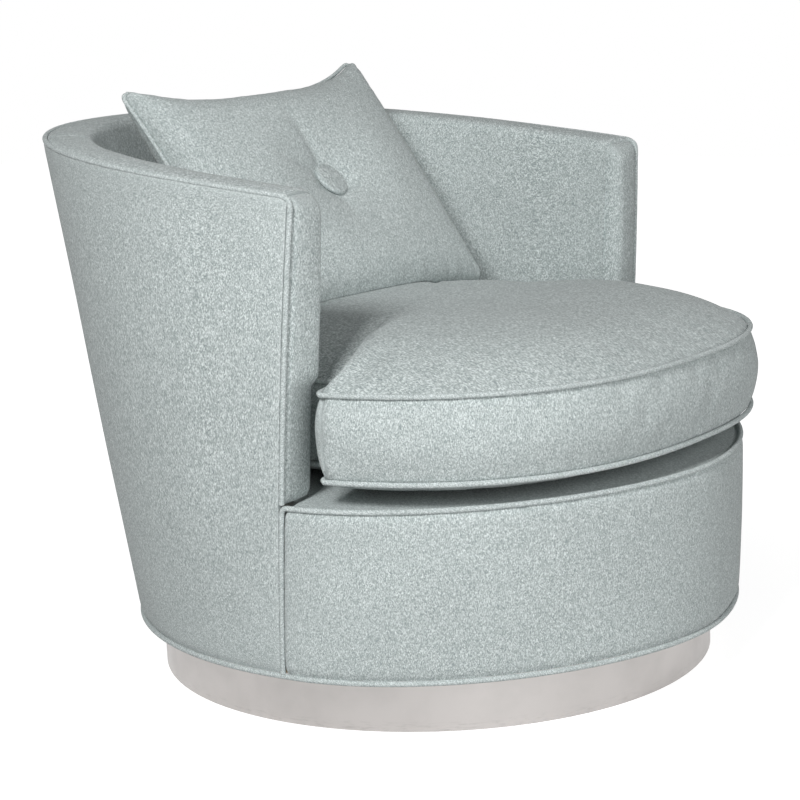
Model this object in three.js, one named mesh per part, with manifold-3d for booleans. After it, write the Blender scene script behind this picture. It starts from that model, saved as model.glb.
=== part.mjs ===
// Swivel barrel chair: a round upholstered tub with a loose T seat cushion and a tufted pillow,
// turning on a caged ball race inside a steel-wrapped plinth. Millimetres, +Z up, front towards -Y.
import * as THREE from "three";
import { mergeVertices } from "three/addons/utils/BufferGeometryUtils.js";
import Module from "manifold-3d";

const wasm = await Module();
wasm.setup();

// Fits shared by the whole chair
const clearance = 0.3;
const frameGap = 0.8;
const overrun = 2;
const weltRadius = 3.3;
const weltSides = 5;
const seatPly = 18;

// Plinth that stands on the floor
const plinthRadius = 362;
const plinthTop = 67;
const glideHeight = 2.7;
const glideRadius = 7;
const glideCount = 6;
const bandThickness = 1.4;
const bandLip = 10;
const coreThickness = 18;
const cleatWidth = 16;
const cleatHeight = 16;
const boardThickness = 18;
const plinthFacets = 48;

// Swivel: two pressed plates, a ball race and a king rivet
const plateWidth = 216;
const plateCornerRadius = 22;
const plateThickness = 3;
const raceRadius = 68;
const raceWidth = 26;
const raceHeight = 9;
const ballRadius = 5;
const ballCount = 12;
const ballRunningFit = 0.45;
const cageThickness = 2;
const cageWidth = 20;
const raceGap = 3;
const raceFacets = 40;
const rivetRadius = 8;
const rivetHeadRadius = 15;
const rivetHeadHeight = 4;
const rivetFit = 0.6;
const boardCentreHole = 34;
const boltRadius = 3;
const boltLength = 17;
const boltHeadRadius = 6.5;
const boltHeadHeight = 4;
const boltInset = 20;

// Body outline at its bottom edge, about the swivel axis
const bodyBottom = 76.7;
const bottomHalfWidth = 399;
const bottomHalfDepth = 411;
const bottomCentreY = -18;
const bottomSpanDeg = 95.6;
const bottomPower = 2;

// Body outline along the top of the arms and back
const topHalfWidth = 401;
const topHalfDepth = 445;
const topCentreY = 34;
const topSpanDeg = 103.5;
const topPower = 2.46;
const armTipHeight = 638.6;
const railRiseShare = 0.11;
const armCornerRadius = 17;
const armSwell = 10;
const deckEdge = 276.6;

// Wall of the tub, from the outside cover to the inside pad
const coverThickness = 6;
const topThickness = 62;
const armThickness = 70;
const backThickness = 112;
const topPad = 20;
const seatPad = 30;
const bandPad = 10;
const armFrontPad = 10;
const padFoot = 262;
const roundOver = 11;
const wallStations = 28;
const cornerStations_share = [0, 0.12, 0.35, 0.65, 1];

// Front panel under the seat
const panelFrontBottom = 406;
const panelFrontTop = 411;
const panelPower = 1.8;
const panelPad = 12;
const frontBoardThickness = 12;
const frontBoardTop = 250;
const panelStations = 24;

// Seat frame, springs and deck
const sidePanelX = 232;
const sidePanelFront = 262;
const sidePanelBack = 236;
const sidePanelTop = 204;
const sideArchHeight = 66;
const sideArchMargin = 56;
const railDepth = 30;
const railTop = 246;
const topRailHeight = 22;
const postWidth = 30;
const ribWidth = 18;
const ribPlaces_share = [-0.68, -0.34, 0, 0.34, 0.68];
const springCount = 4;
const springSpacing = 112;
const springWire = 1.9;
const springLoopWidth = 48;
const springLoops = 12;
const springBow = 6;
const springRunIn = 16;
const clipStrip = 1.5;
const clipWidth = 14;
const clipStripWidth = 16;
const deckFoot = 254;
const deckEdgeTop = 279.5;
const deckCrown = 3.5;

// Loose seat cushion
const cushionSideRoom = 7;
const cushionHalfWidth = topHalfWidth - cushionSideRoom;
const cushionHalfDepth = 385.5;
const cushionCentreY = -12;
const cushionPower = 2.46;
const earSpanDeg = 78;
const earNotchRoom = 13;
const earNotchX = topHalfWidth - armThickness - earNotchRoom;
const earNotchSetOff = 10;
const earRound = 9;
const cushionFit = 6;
const cushionSeamLow = 312;
const cushionSeamHigh = 413;
const cushionCrown = 43;
const cushionBulge = 8;
const frontStations = 22;
const rearStations = 18;

// Back pillow with one covered button each side
const pillowWidth = 416;
const pillowHeight = 372;
const pillowPlump = 132;
const pillowDrawIn_share = 0.07;
const pillowX = 30;
const pillowBack = 323;
const pillowTiltDeg = 40;
const pillowTurnDeg = -9;
const pillowRollDeg = 1.4;
const pillowGrid = 14;
const pillowWelt = 2.8;
const buttonRadius = 26;
const buttonHeight = 9;
const tuftDepth = 21;
const tuftSpread = 62;
const tuftBelowCentre = 14;
const twineRadius = 1.4;
const twineBore = 3;

const cloth = { color: 0xb1bab9, roughness: 0.95, metalness: 0 };
const weltCloth = { color: 0xaab4b3, roughness: 0.95, metalness: 0 };
const steel = { color: 0xc6c2bf, roughness: 0.35, metalness: 1 };
const zinc = { color: 0x9a9ca0, roughness: 0.45, metalness: 1 };
const springSteel = { color: 0x55585c, roughness: 0.5, metalness: 1 };
const plywood = { color: 0xc9a877, roughness: 0.75, metalness: 0 };
const hardwood = { color: 0xb68a58, roughness: 0.7, metalness: 0 };
const cambric = { color: 0x2b2b2d, roughness: 0.95, metalness: 0 };
const nylon = { color: 0x1f1f21, roughness: 0.6, metalness: 0 };
const hemp = { color: 0xd8cfb8, roughness: 0.9, metalness: 0 };

const chair = new THREE.Group();

// Adds a named piece to the chair or to a group inside it.
function piece(name, geometry, finish, parent = chair) {
  const mesh = new THREE.Mesh(geometry, new THREE.MeshStandardMaterial(finish));
  mesh.name = name;
  parent.add(mesh);
  return mesh;
}

// Shared helpers for solids

function signedVolume(positions, index) {
  const [a, b, c] = [new THREE.Vector3(), new THREE.Vector3(), new THREE.Vector3()];
  let sum = 0;
  for (let i = 0; i < index.length; i += 3) {
    a.fromArray(positions, index[i] * 3);
    b.fromArray(positions, index[i + 1] * 3);
    c.fromArray(positions, index[i + 2] * 3);
    sum += a.dot(b.cross(c));
  }
  return sum;
}

// Triangles that close a loop of points, seen in the loop's own plane.
function capTriangles(loop) {
  const normal = new THREE.Vector3();
  loop.forEach((p, i) => {
    const q = loop[(i + 1) % loop.length];
    normal.add(new THREE.Vector3().crossVectors(p, q));
  });
  normal.normalize();
  const across = new THREE.Vector3().subVectors(loop[1], loop[0]);
  across.addScaledVector(normal, -across.dot(normal)).normalize();
  const up = new THREE.Vector3().crossVectors(normal, across);
  const flat = loop.map((p) => new THREE.Vector2(p.dot(across), p.dot(up)));
  return THREE.ShapeUtils.triangulateShape(flat, []).map(([i, j, k]) => {
    const area = flat[j].clone().sub(flat[i]).cross(flat[k].clone().sub(flat[i]));
    return area > 0 ? [i, j, k] : [i, k, j];
  });
}

// A closed solid through a run of loops with equal point counts; a ring joins its last loop to its first.
function skin(loops, isRing = false) {
  const count = loops[0].length;
  const positions = loops.flat().flatMap((p) => [p.x, p.y, p.z]);
  const index = [];
  const runs = isRing ? loops.length : loops.length - 1;
  for (let i = 0; i < runs; i++) {
    const step = (i + 1) % loops.length;
    const here = i * count;
    const next = step * count;
    for (let j = 0; j < count; j++) {
      const k = (j + 1) % count;
      const rising = loops[i][j].distanceTo(loops[step][k]);
      const falling = loops[i][k].distanceTo(loops[step][j]);
      if (rising < falling) index.push(here + j, here + k, next + k, here + j, next + k, next + j);
      else index.push(here + j, here + k, next + j, here + k, next + k, next + j);
    }
  }
  if (!isRing) {
    const last = (loops.length - 1) * count;
    capTriangles(loops[0]).forEach(([a, b, c]) => index.push(a, c, b));
    capTriangles(loops[loops.length - 1]).forEach(([a, b, c]) =>
      index.push(last + a, last + b, last + c),
    );
  }
  if (signedVolume(positions, index) < 0) index.reverse();
  const geometry = new THREE.BufferGeometry();
  geometry.setAttribute("position", new THREE.Float32BufferAttribute(positions, 3));
  geometry.setIndex(index);
  geometry.computeVertexNormals();
  return geometry;
}

// A cord of even radius through given points, mitred at each bend.
function cord(points, radius, sides, isRing = false, start = new THREE.Vector3(0, 0, 1)) {
  const last = points.length - 1;
  const side = new THREE.Vector3();
  const loops = points.map((p, i) => {
    const before = points[i === 0 ? (isRing ? last : 0) : i - 1];
    const after = points[i === last ? (isRing ? 0 : last) : i + 1];
    const along = new THREE.Vector3().subVectors(after, before).normalize();
    const reference = i === 0 ? start : side;
    side.copy(reference).addScaledVector(along, -reference.dot(along)).normalize();
    const up = new THREE.Vector3().crossVectors(along, side);
    return Array.from({ length: sides }, (_, k) => {
      const turn = ((k + 0.5) / sides) * Math.PI * 2;
      return p
        .clone()
        .addScaledVector(side, radius * Math.cos(turn))
        .addScaledVector(up, radius * Math.sin(turn));
    });
  });
  return skin(loops, isRing);
}

function plate(shape, depth, bottom, curveSegments = 6) {
  const geometry = new THREE.ExtrudeGeometry(shape, { depth, bevelEnabled: false, curveSegments });
  return geometry.translate(0, 0, bottom);
}

function revolve(profile, facets) {
  const closed = profile.map(([r, z]) => new THREE.Vector2(r, z));
  if (closed[0].x > 0) closed.push(closed[0].clone());
  return new THREE.LatheGeometry(closed, facets).rotateX(Math.PI / 2);
}

function solid(geometry) {
  const bare = geometry.clone();
  bare.deleteAttribute("normal");
  bare.deleteAttribute("uv");
  const merged = mergeVertices(bare, 1e-4);
  const triVerts = new Uint32Array(merged.index.array);
  if (signedVolume(merged.attributes.position.array, triVerts) < 0) triVerts.reverse();
  const vertProperties = new Float32Array(merged.attributes.position.array);
  return new wasm.Manifold(new wasm.Mesh({ numProp: 3, vertProperties, triVerts }));
}

function geometryOf(body) {
  const mesh = body.getMesh();
  const geometry = new THREE.BufferGeometry();
  geometry.setAttribute("position", new THREE.Float32BufferAttribute(mesh.vertProperties, 3));
  geometry.setIndex(new THREE.Uint32BufferAttribute(mesh.triVerts, 1));
  geometry.computeVertexNormals();
  return geometry;
}

const at = (flat, z) => new THREE.Vector3(flat.x, flat.y, z);
const mix = THREE.MathUtils.lerp;
const radians = THREE.MathUtils.degToRad;
const clamp01 = (value) => THREE.MathUtils.clamp(value, 0, 1);

// The plan of the body: superellipses about the swivel axis, angle 0 towards the front.

function planPoint(plan, angle) {
  const s = Math.sin(angle);
  const c = Math.cos(angle);
  const exponent = 2 / plan.power;
  return new THREE.Vector2(
    plan.halfWidth * Math.sign(s) * Math.abs(s) ** exponent,
    plan.centreY - plan.halfDepth * Math.sign(c) * Math.abs(c) ** exponent,
  );
}

function planInward(plan, angle) {
  const p = planPoint(plan, angle);
  const x = p.x / plan.halfWidth;
  const y = (p.y - plan.centreY) / plan.halfDepth;
  return new THREE.Vector2(
    (-Math.sign(x) * Math.abs(x) ** (plan.power - 1)) / plan.halfWidth,
    (-Math.sign(y) * Math.abs(y) ** (plan.power - 1)) / plan.halfDepth,
  ).normalize();
}

const bottomPlan = {
  halfWidth: bottomHalfWidth,
  halfDepth: bottomHalfDepth,
  centreY: bottomCentreY,
  power: bottomPower,
};
const topPlan = {
  halfWidth: topHalfWidth,
  halfDepth: topHalfDepth,
  centreY: topCentreY,
  power: topPower,
};

// The wall runs from the left arm (u = -1) round the back (u = 0) to the right arm (u = 1).
const bottomAngle = (u) => Math.PI - u * radians(bottomSpanDeg);
const topAngle = (u) => Math.PI - u * radians(topSpanDeg);
const tipY = planPoint(topPlan, topAngle(1)).y;

const wallHalfLength = (() => {
  const steps = 200;
  let sum = 0;
  for (let i = 0; i < steps; i++) {
    const a = planPoint(bottomPlan, bottomAngle(i / steps));
    const b = planPoint(bottomPlan, bottomAngle((i + 1) / steps));
    sum += a.distanceTo(b);
  }
  return sum;
})();

const stepBack = (length) => 1 - length / wallHalfLength;

// Fixed stations along the wall: every layer bends at the same places, so they lie snug.
const wallStops = (() => {
  const corner = cornerStations_share.map((share) => stepBack(armCornerRadius * share));
  const span = stepBack(armCornerRadius * 1.6);
  const middle = Array.from({ length: wallStations + 1 }, (_, i) =>
    mix(-span, span, i / wallStations),
  );
  return [...corner.map((u) => -u), ...middle, ...corner.reverse()];
})();

// The line of the arms and back, and the same with the arm's rounded top corner.
const railLine = (u) => {
  const reach = planPoint(topPlan, topAngle(u)).y - tipY;
  return armTipHeight + railRiseShare * reach;
};

function railHeight(u) {
  const fromTip = (1 - Math.abs(u)) * wallHalfLength;
  const reach = Math.max(armCornerRadius - fromTip, 0);
  return railLine(u) - armCornerRadius + Math.sqrt(armCornerRadius ** 2 - reach ** 2);
}

// Heights at which every layer of the wall bends.
const swellStops_share = [0.33, 0.67];
const swellHeights = (u) => swellStops_share.map((share) => mix(deckEdge, railLine(u), share));

function swellAt(u, z) {
  const stops = [bodyBottom, deckEdge, ...swellHeights(u), railLine(u)];
  const full = stops.map((stop) => {
    const share = (stop - bodyBottom) / (railLine(u) - bodyBottom);
    return armSwell * u ** 4 * 4 * share * (1 - share);
  });
  const after = stops.findIndex((stop, i) => i > 0 && (z <= stop || i === stops.length - 1));
  const share = (z - stops[after - 1]) / (stops[after] - stops[after - 1]);
  return mix(full[after - 1], full[after], share);
}

function wallStation(u, z, inset) {
  const low = planPoint(bottomPlan, bottomAngle(u));
  const high = planPoint(topPlan, topAngle(u));
  const share = (z - bodyBottom) / (railLine(u) - bodyBottom);
  const inward = planInward(bottomPlan, bottomAngle(u)).add(planInward(topPlan, topAngle(u)));
  return low.lerp(high, share).addScaledVector(inward.normalize(), inset - swellAt(u, z));
}

// A point on the wall: straight between two neighbouring stations.
function wallPoint(u, z, inset) {
  const after = Math.max(wallStops.findIndex((stop) => u <= stop), 1);
  const share = (u - wallStops[after - 1]) / (wallStops[after] - wallStops[after - 1]);
  const near = wallStation(wallStops[after - 1], z, inset);
  return near.lerp(wallStation(wallStops[after], z, inset), share);
}

function wallThickness(u, z) {
  const seat = mix(backThickness, armThickness, u * u);
  const share = clamp01((railLine(u) - z) / (railLine(u) - deckEdge));
  return mix(topThickness, seat, share);
}

function padThickness(u, z) {
  return mix(topPad, seatPad, clamp01((railLine(u) - z) / (railLine(u) - deckEdge)));
}

// The wall's stations as far as an end, with the end itself.
function wallPlaces(end) {
  return [-end, ...wallStops.filter((u) => Math.abs(u) < end), end];
}

const onWall = (u, z, inset) => at(wallPoint(u, z, inset), z);

// The front panel runs between the two arm corners (v = -1 to 1).
function panelPlan(z) {
  const corner = wallPoint(1, z, 0);
  const front = mix(panelFrontBottom, panelFrontTop, (z - bodyBottom) / (deckEdge - bodyBottom));
  return { halfWidth: corner.x, halfDepth: front + corner.y, centreY: corner.y, power: panelPower };
}

function panelStation(v, z, inset) {
  const plan = panelPlan(z);
  const angle = (v * Math.PI) / 2;
  return planPoint(plan, angle).addScaledVector(planInward(plan, angle), inset);
}

// A point on the front panel, straight between two neighbouring stations.
function panelPoint(v, z, inset) {
  const step = Math.min(Math.floor(((v + 1) / 2) * panelStations), panelStations - 1);
  const stop = (i) => mix(-1, 1, i / panelStations);
  const share = (v - stop(step)) / (stop(step + 1) - stop(step));
  return panelStation(stop(step), z, inset).lerp(panelStation(stop(step + 1), z, inset), share);
}

const onPanel = (v, z, inset) => at(panelPoint(v, z, inset), z);

function panelPlaces(end) {
  const stops = Array.from({ length: panelStations + 1 }, (_, i) => mix(-1, 1, i / panelStations));
  return [-end, ...stops.filter((v) => Math.abs(v) < end), end];
}

// Closed outline of the whole body at one height; the wall stops a little short of the corner.
function bodyOutline(z, wallInset, panelInset, short) {
  const wall = wallPlaces(stepBack(short)).reverse().map((u) => wallPoint(u, z, wallInset));
  const panel = panelPlaces(1).map((v) => panelPoint(v, z, panelInset));
  return [...panel, ...wall];
}

// Plinth

const coreOuter = plinthRadius - bandThickness - clearance;
const coreInner = coreOuter - coreThickness;
const plinthBottom = glideHeight + clearance;
const plateStack = 2 * (plateThickness + raceHeight) + raceGap;
const stackTop = bodyBottom - 2 * clearance;
const stackBottom = stackTop - plateStack;
const boardTop = stackBottom - clearance;
const boardBottom = boardTop - boardThickness;

function makePlinth() {
  const bandInner = plinthRadius - bandThickness;
  piece(
    "plinth_band",
    revolve(
      [
        [bandInner, plinthBottom],
        [plinthRadius, plinthBottom],
        [plinthRadius, plinthTop],
        [plinthRadius - bandLip, plinthTop],
        [plinthRadius - bandLip, plinthTop - bandThickness],
        [bandInner, plinthTop - bandThickness],
      ],
      plinthFacets,
    ),
    steel,
  );
  const ledge = coreInner - cleatWidth;
  const cleatTop = boardBottom - clearance;
  const coreTop = plinthTop - bandThickness - clearance;
  piece(
    "plinth_core",
    revolve(
      [
        [ledge, cleatTop - cleatHeight],
        [coreInner, cleatTop - cleatHeight],
        [coreInner, plinthBottom],
        [coreOuter, plinthBottom],
        [coreOuter, coreTop],
        [coreInner, coreTop],
        [coreInner, cleatTop],
        [ledge, cleatTop],
      ],
      plinthFacets,
    ),
    plywood,
  );
  const glideRing = (coreInner + coreOuter) / 2;
  for (let i = 0; i < glideCount; i++) {
    const turn = ((i + 0.5) / glideCount) * Math.PI * 2;
    const glide = new THREE.CylinderGeometry(glideRadius, glideRadius, glideHeight, 12);
    glide.rotateX(Math.PI / 2);
    glide.translate(glideRing * Math.cos(turn), glideRing * Math.sin(turn), glideHeight / 2);
    piece(`floor_glide_${i + 1}`, glide, nylon);
  }
}

// Bolt places of a square plate, turned by an angle about the swivel axis.
function boltPlaces(turn) {
  const reach = (plateWidth / 2 - boltInset) * Math.SQRT2;
  return [0, 1, 2, 3].map((i) => {
    const angle = turn + Math.PI / 4 + (i * Math.PI) / 2;
    return new THREE.Vector2(reach * Math.cos(angle), reach * Math.sin(angle));
  });
}

function disc(radius, facets) {
  const points = Array.from({ length: facets }, (_, i) => {
    const turn = (i / facets) * Math.PI * 2;
    return new THREE.Vector2(radius * Math.cos(turn), radius * Math.sin(turn));
  });
  return new THREE.Shape(points);
}

function drillHole(shape, place, radius) {
  shape.holes.push(new THREE.Path().absarc(place.x, place.y, radius, 0, Math.PI * 2, true));
}

const axis = new THREE.Vector2(0, 0);
const boltHole = boltRadius + clearance;

function makeBaseBoard() {
  const shape = disc(coreInner - clearance, plinthFacets);
  drillHole(shape, axis, boardCentreHole);
  boltPlaces(0).forEach((place) => drillHole(shape, place, boltHole));
  piece("base_board", plate(shape, boardThickness, boardBottom), plywood);
}

// Swivel

function roundedSquare(width, radius) {
  const half = width / 2;
  const shape = new THREE.Shape();
  shape.absarc(half - radius, half - radius, radius, 0, Math.PI / 2, false);
  shape.absarc(radius - half, half - radius, radius, Math.PI / 2, Math.PI, false);
  shape.absarc(radius - half, radius - half, radius, Math.PI, Math.PI * 1.5, false);
  shape.absarc(half - radius, radius - half, radius, Math.PI * 1.5, Math.PI * 2, false);
  return shape;
}

// Pressed race ring whose groove is an arc about the ball's centre; the base of the ring is at z = 0.
function raceRing() {
  const groove = ballRadius + ballRunningFit;
  const drop = raceGap / 2;
  const half = Math.acos(drop / groove);
  const arc = Array.from({ length: 6 }, (_, i) => {
    const angle = mix(half, -half, i / 5);
    return [
      raceRadius + groove * Math.sin(angle),
      raceHeight + drop - groove * Math.cos(angle),
    ];
  });
  return revolve(
    [
      [raceRadius - raceWidth / 2, 0],
      [raceRadius + raceWidth / 2, 0],
      [raceRadius + raceWidth / 2, raceHeight],
      ...arc,
      [raceRadius - raceWidth / 2, raceHeight],
    ],
    raceFacets,
  );
}

function swivelPlate(turn) {
  const shape = roundedSquare(plateWidth, plateCornerRadius);
  drillHole(shape, axis, rivetRadius + rivetFit);
  boltPlaces(0).forEach((place) => drillHole(shape, place, boltHole));
  const sheet = solid(plate(shape, plateThickness, 0));
  const ring = solid(raceRing().translate(0, 0, plateThickness));
  return geometryOf(sheet.add(ring)).rotateZ(turn);
}

function bolt(place, seat, direction) {
  const hexagon = new THREE.CylinderGeometry(boltHeadRadius, boltHeadRadius, boltHeadHeight, 6);
  const shankLength = boltLength + plateThickness + clearance;
  const shank = new THREE.CylinderGeometry(boltRadius, boltRadius, shankLength + overrun, 12);
  hexagon.rotateX(Math.PI / 2).translate(0, 0, boltHeadHeight / 2);
  shank.rotateX(Math.PI / 2).translate(0, 0, (overrun - shankLength) / 2);
  const joined = geometryOf(solid(hexagon).add(solid(shank)));
  if (direction < 0) joined.rotateX(Math.PI);
  return joined.translate(place.x, place.y, seat);
}

function makeSwivel() {
  piece("swivel_lower_plate", swivelPlate(0).translate(0, 0, stackBottom), zinc);
  const upper = swivelPlate(0).rotateX(Math.PI).rotateZ(Math.PI / 4);
  piece("swivel_upper_plate", upper.translate(0, 0, stackTop), zinc);
  const ballHeight = (stackBottom + stackTop) / 2;
  const cageHalf = cageWidth / 2;
  let cage = solid(
    revolve(
      [
        [raceRadius - cageHalf, ballHeight - cageThickness / 2],
        [raceRadius + cageHalf, ballHeight - cageThickness / 2],
        [raceRadius + cageHalf, ballHeight + cageThickness / 2],
        [raceRadius - cageHalf, ballHeight + cageThickness / 2],
      ],
      raceFacets,
    ),
  );
  for (let i = 0; i < ballCount; i++) {
    const turn = (i / ballCount) * Math.PI * 2;
    const ball = new THREE.SphereGeometry(ballRadius, 8, 6);
    ball.translate(raceRadius * Math.cos(turn), raceRadius * Math.sin(turn), ballHeight);
    cage = cage.add(solid(ball));
  }
  piece("caged_ball_ring", geometryOf(cage), springSteel);
  piece(
    "king_rivet",
    revolve(
      [
        [0, stackBottom - clearance - rivetHeadHeight],
        [rivetHeadRadius, stackBottom - clearance - rivetHeadHeight],
        [rivetHeadRadius, stackBottom - clearance],
        [rivetRadius, stackBottom - clearance],
        [rivetRadius, stackTop + clearance],
        [rivetHeadRadius, stackTop + clearance],
        [rivetHeadRadius, stackTop + clearance + rivetHeadHeight],
        [0, stackTop + clearance + rivetHeadHeight],
      ],
      16,
    ),
    zinc,
  );
  boltPlaces(0).forEach((place, i) => {
    const seat = stackBottom + plateThickness + clearance;
    piece(`lower_plate_bolt_${i + 1}`, bolt(place, seat, 1), zinc);
  });
  boltPlaces(Math.PI / 4).forEach((place, i) => {
    const seat = stackTop - plateThickness - clearance;
    piece(`upper_plate_bolt_${i + 1}`, bolt(place, seat, -1), zinc);
  });
}

// Wooden frame of the tub

const frameInset = coverThickness + frameGap;
const frameFoot = bodyBottom - clearance;
const frameFloor = frameFoot + seatPly;
const railUnder = (u) => railHeight(u) - bandPad - 2 * clearance - topRailHeight;
const framePadInset = (u, z) => wallThickness(u, z) - padThickness(u, z) - 2 * frameGap;

function makeBottomBoard() {
  const outline = bodyOutline(frameFoot, frameInset, panelPad + frameGap, frameGap);
  const shape = new THREE.Shape(outline);
  drillHole(shape, axis, boardCentreHole);
  boltPlaces(Math.PI / 4).forEach((place) => drillHole(shape, place, boltHole));
  piece("bottom_board", plate(shape, seatPly, frameFoot), plywood);
}

// An upright between two places on the wall, following its lean and taper.
function upright(u, width) {
  const half = width / 2 / wallHalfLength;
  const foot = frameFloor + clearance;
  const sections = [u - half, u + half].map((place) => {
    const top = railUnder(place) - clearance;
    const levels = [foot, deckEdge, ...swellHeights(place), top];
    const outer = levels.map((z) => onWall(place, z, frameInset));
    const inner = levels.map((z) => onWall(place, z, framePadInset(place, z)));
    return [...outer, ...inner.reverse()];
  });
  return skin(sections);
}

const armFrontPlace = stepBack(armFrontPad);
const postPlace = stepBack(armFrontPad + clearance + armCornerRadius + postWidth / 2);

function makeTubFrame() {
  ribPlaces_share.forEach((u, i) => piece(`back_rib_${i + 1}`, upright(u, ribWidth), plywood));
  piece("arm_post_left", upright(-postPlace, postWidth), hardwood);
  piece("arm_post_right", upright(postPlace, postWidth), hardwood);
  const end = stepBack(armFrontPad + clearance + armCornerRadius);
  const sections = wallPlaces(end).map((u) => {
    const low = railUnder(u);
    const high = low + topRailHeight;
    return [
      onWall(u, low, frameInset),
      onWall(u, high, frameInset),
      onWall(u, high, framePadInset(u, high)),
      onWall(u, low, framePadInset(u, high)),
    ];
  });
  piece("top_rail", skin(sections), plywood);
}

// Seat frame

function makeSeatFrame() {
  const foot = frameFloor + clearance;
  const half = (sidePanelFront + sidePanelBack) / 2;
  const middle = (sidePanelBack - sidePanelFront) / 2;
  for (const side of [-1, 1]) {
    const shape = new THREE.Shape();
    const arch = half - sideArchMargin;
    shape.moveTo(middle - half, foot);
    shape.lineTo(middle - arch, foot);
    shape.bezierCurveTo(
      middle - arch, foot + sideArchHeight,
      middle + arch, foot + sideArchHeight,
      middle + arch, foot,
    );
    shape.lineTo(middle + half, foot);
    shape.lineTo(middle + half, sidePanelTop);
    shape.lineTo(middle - half, sidePanelTop);
    const panel = new THREE.ExtrudeGeometry(shape, {
      depth: seatPly,
      bevelEnabled: false,
      curveSegments: 12,
    });
    panel.rotateX(Math.PI / 2).rotateZ(Math.PI / 2);
    panel.translate(side * sidePanelX + (side < 0 ? -seatPly : 0), 0, 0);
    piece(side < 0 ? "seat_side_left" : "seat_side_right", panel, plywood);
  }
  const railHeightSpan = railTop - sidePanelTop - clearance;
  const railLength = 2 * (sidePanelX + seatPly);
  const railZ = sidePanelTop + clearance + railHeightSpan / 2;
  for (const [name, y] of [
    ["spring_rail_front", -sidePanelFront + railDepth / 2],
    ["spring_rail_rear", sidePanelBack - railDepth / 2],
  ]) {
    const rail = new THREE.BoxGeometry(railLength, railDepth, railHeightSpan);
    piece(name, rail.translate(0, y, railZ), hardwood);
  }
}

// Zigzag springs, each end held in a clip on its rail

const stripTop = railTop + clearance + clipStrip;
const wireHeight = stripTop + clearance + springWire;
const springFrontY = -sidePanelFront + railDepth / 2;
const springRearY = sidePanelBack - railDepth / 2;
const springX = (i) => (i - (springCount - 1) / 2) * springSpacing;

function springPath(x) {
  const halfSpan = (springRearY - springFrontY) / 2 - springRunIn;
  const middle = (springRearY + springFrontY) / 2;
  const height = (share) => wireHeight + springBow * (1 - share * share);
  const halfWidth = springLoopWidth / 2;
  const pitch = (2 * halfSpan) / springLoops;
  const steps_share = [-0.42, -0.3, 0.3, 0.42, 0.5];
  const widths_share = [0.62, 1, 1, 0.62, 0];
  const points = [];
  for (let i = 0; i < springLoops; i++) {
    const side = i % 2 ? 1 : -1;
    const centre = middle - halfSpan + (i + 0.5) * pitch;
    steps_share.forEach((step, k) => {
      const y = centre + step * pitch;
      const share = (y - middle) / (halfSpan + springRunIn);
      points.push(new THREE.Vector3(x + side * halfWidth * widths_share[k], y, height(share)));
    });
  }
  points.pop();
  const first = points[0];
  const last = points[points.length - 1];
  const tail = clipWidth / 2 + clearance * 2;
  const front = [
    new THREE.Vector3(x - halfWidth - overrun, springFrontY, wireHeight),
    new THREE.Vector3(x + tail, springFrontY, wireHeight),
  ];
  const rear = [
    new THREE.Vector3(x + tail, springRearY, wireHeight),
    new THREE.Vector3(x - tail, springRearY, wireHeight),
  ];
  first.y = mix(springFrontY, first.y, 0.75);
  last.y = mix(springRearY, last.y, 0.75);
  return [...front.reverse(), ...points, ...rear];
}

// One folded strip with a hook over each spring's end, made as a long section with cut windows.
function clipStripPiece(y) {
  const hookTop = wireHeight + springWire + clearance + clipStrip;
  const under = springWire + clearance;
  const length = springSpacing * (springCount - 1) + 2 * clipWidth;
  const strip = new THREE.BoxGeometry(length, clipStripWidth, clipStrip);
  strip.translate(0, y, railTop + clearance + clipStrip / 2);
  let joined = solid(strip);
  for (let i = 0; i < springCount; i++) {
    const section = new THREE.Shape();
    const outer = under + clipStrip;
    section.moveTo(-outer, 0);
    section.lineTo(-outer, hookTop - stripTop);
    section.lineTo(outer, hookTop - stripTop);
    section.lineTo(outer, hookTop - stripTop - clipStrip);
    section.lineTo(-under, hookTop - stripTop - clipStrip);
    section.lineTo(-under, 0);
    const hook = new THREE.ExtrudeGeometry(section, { depth: clipWidth, bevelEnabled: false });
    hook.translate(0, 0, -clipWidth / 2).rotateX(Math.PI / 2).rotateZ(Math.PI / 2);
    hook.translate(springX(i), y, stripTop);
    joined = joined.add(solid(hook));
    const foot = new THREE.BoxGeometry(clipWidth, clipStrip, clipStrip);
    foot.translate(springX(i), y - outer + clipStrip / 2, stripTop);
    joined = joined.add(solid(foot));
  }
  return geometryOf(joined);
}

function makeSprings() {
  for (let i = 0; i < springCount; i++) {
    piece(`seat_spring_${i + 1}`, cord(springPath(springX(i)), springWire, 5), springSteel);
  }
  piece("spring_clips_front", clipStripPiece(springFrontY), zinc);
  piece("spring_clips_rear", clipStripPiece(springRearY), zinc);
}

// Front board, deck and upholstery of the body

const seamReach = (weltRadius + 3 * clearance) * Math.SQRT2;
const weltInset = weltRadius - 0.15 * weltRadius;
const behindWelt = weltInset + weltRadius + clearance;

function makeFrontBoard() {
  const outer = panelPad + frameGap;
  const inner = outer + frontBoardThickness;
  const low = frameFloor + clearance;
  const end = stepBack(postWidth * 2);
  const sections = panelPlaces(end).map((v) => [
    onPanel(v, low, outer),
    onPanel(v, frontBoardTop, outer),
    onPanel(v, frontBoardTop, inner),
    onPanel(v, low, inner),
  ]);
  piece("front_board", skin(sections), plywood);
}

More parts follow.
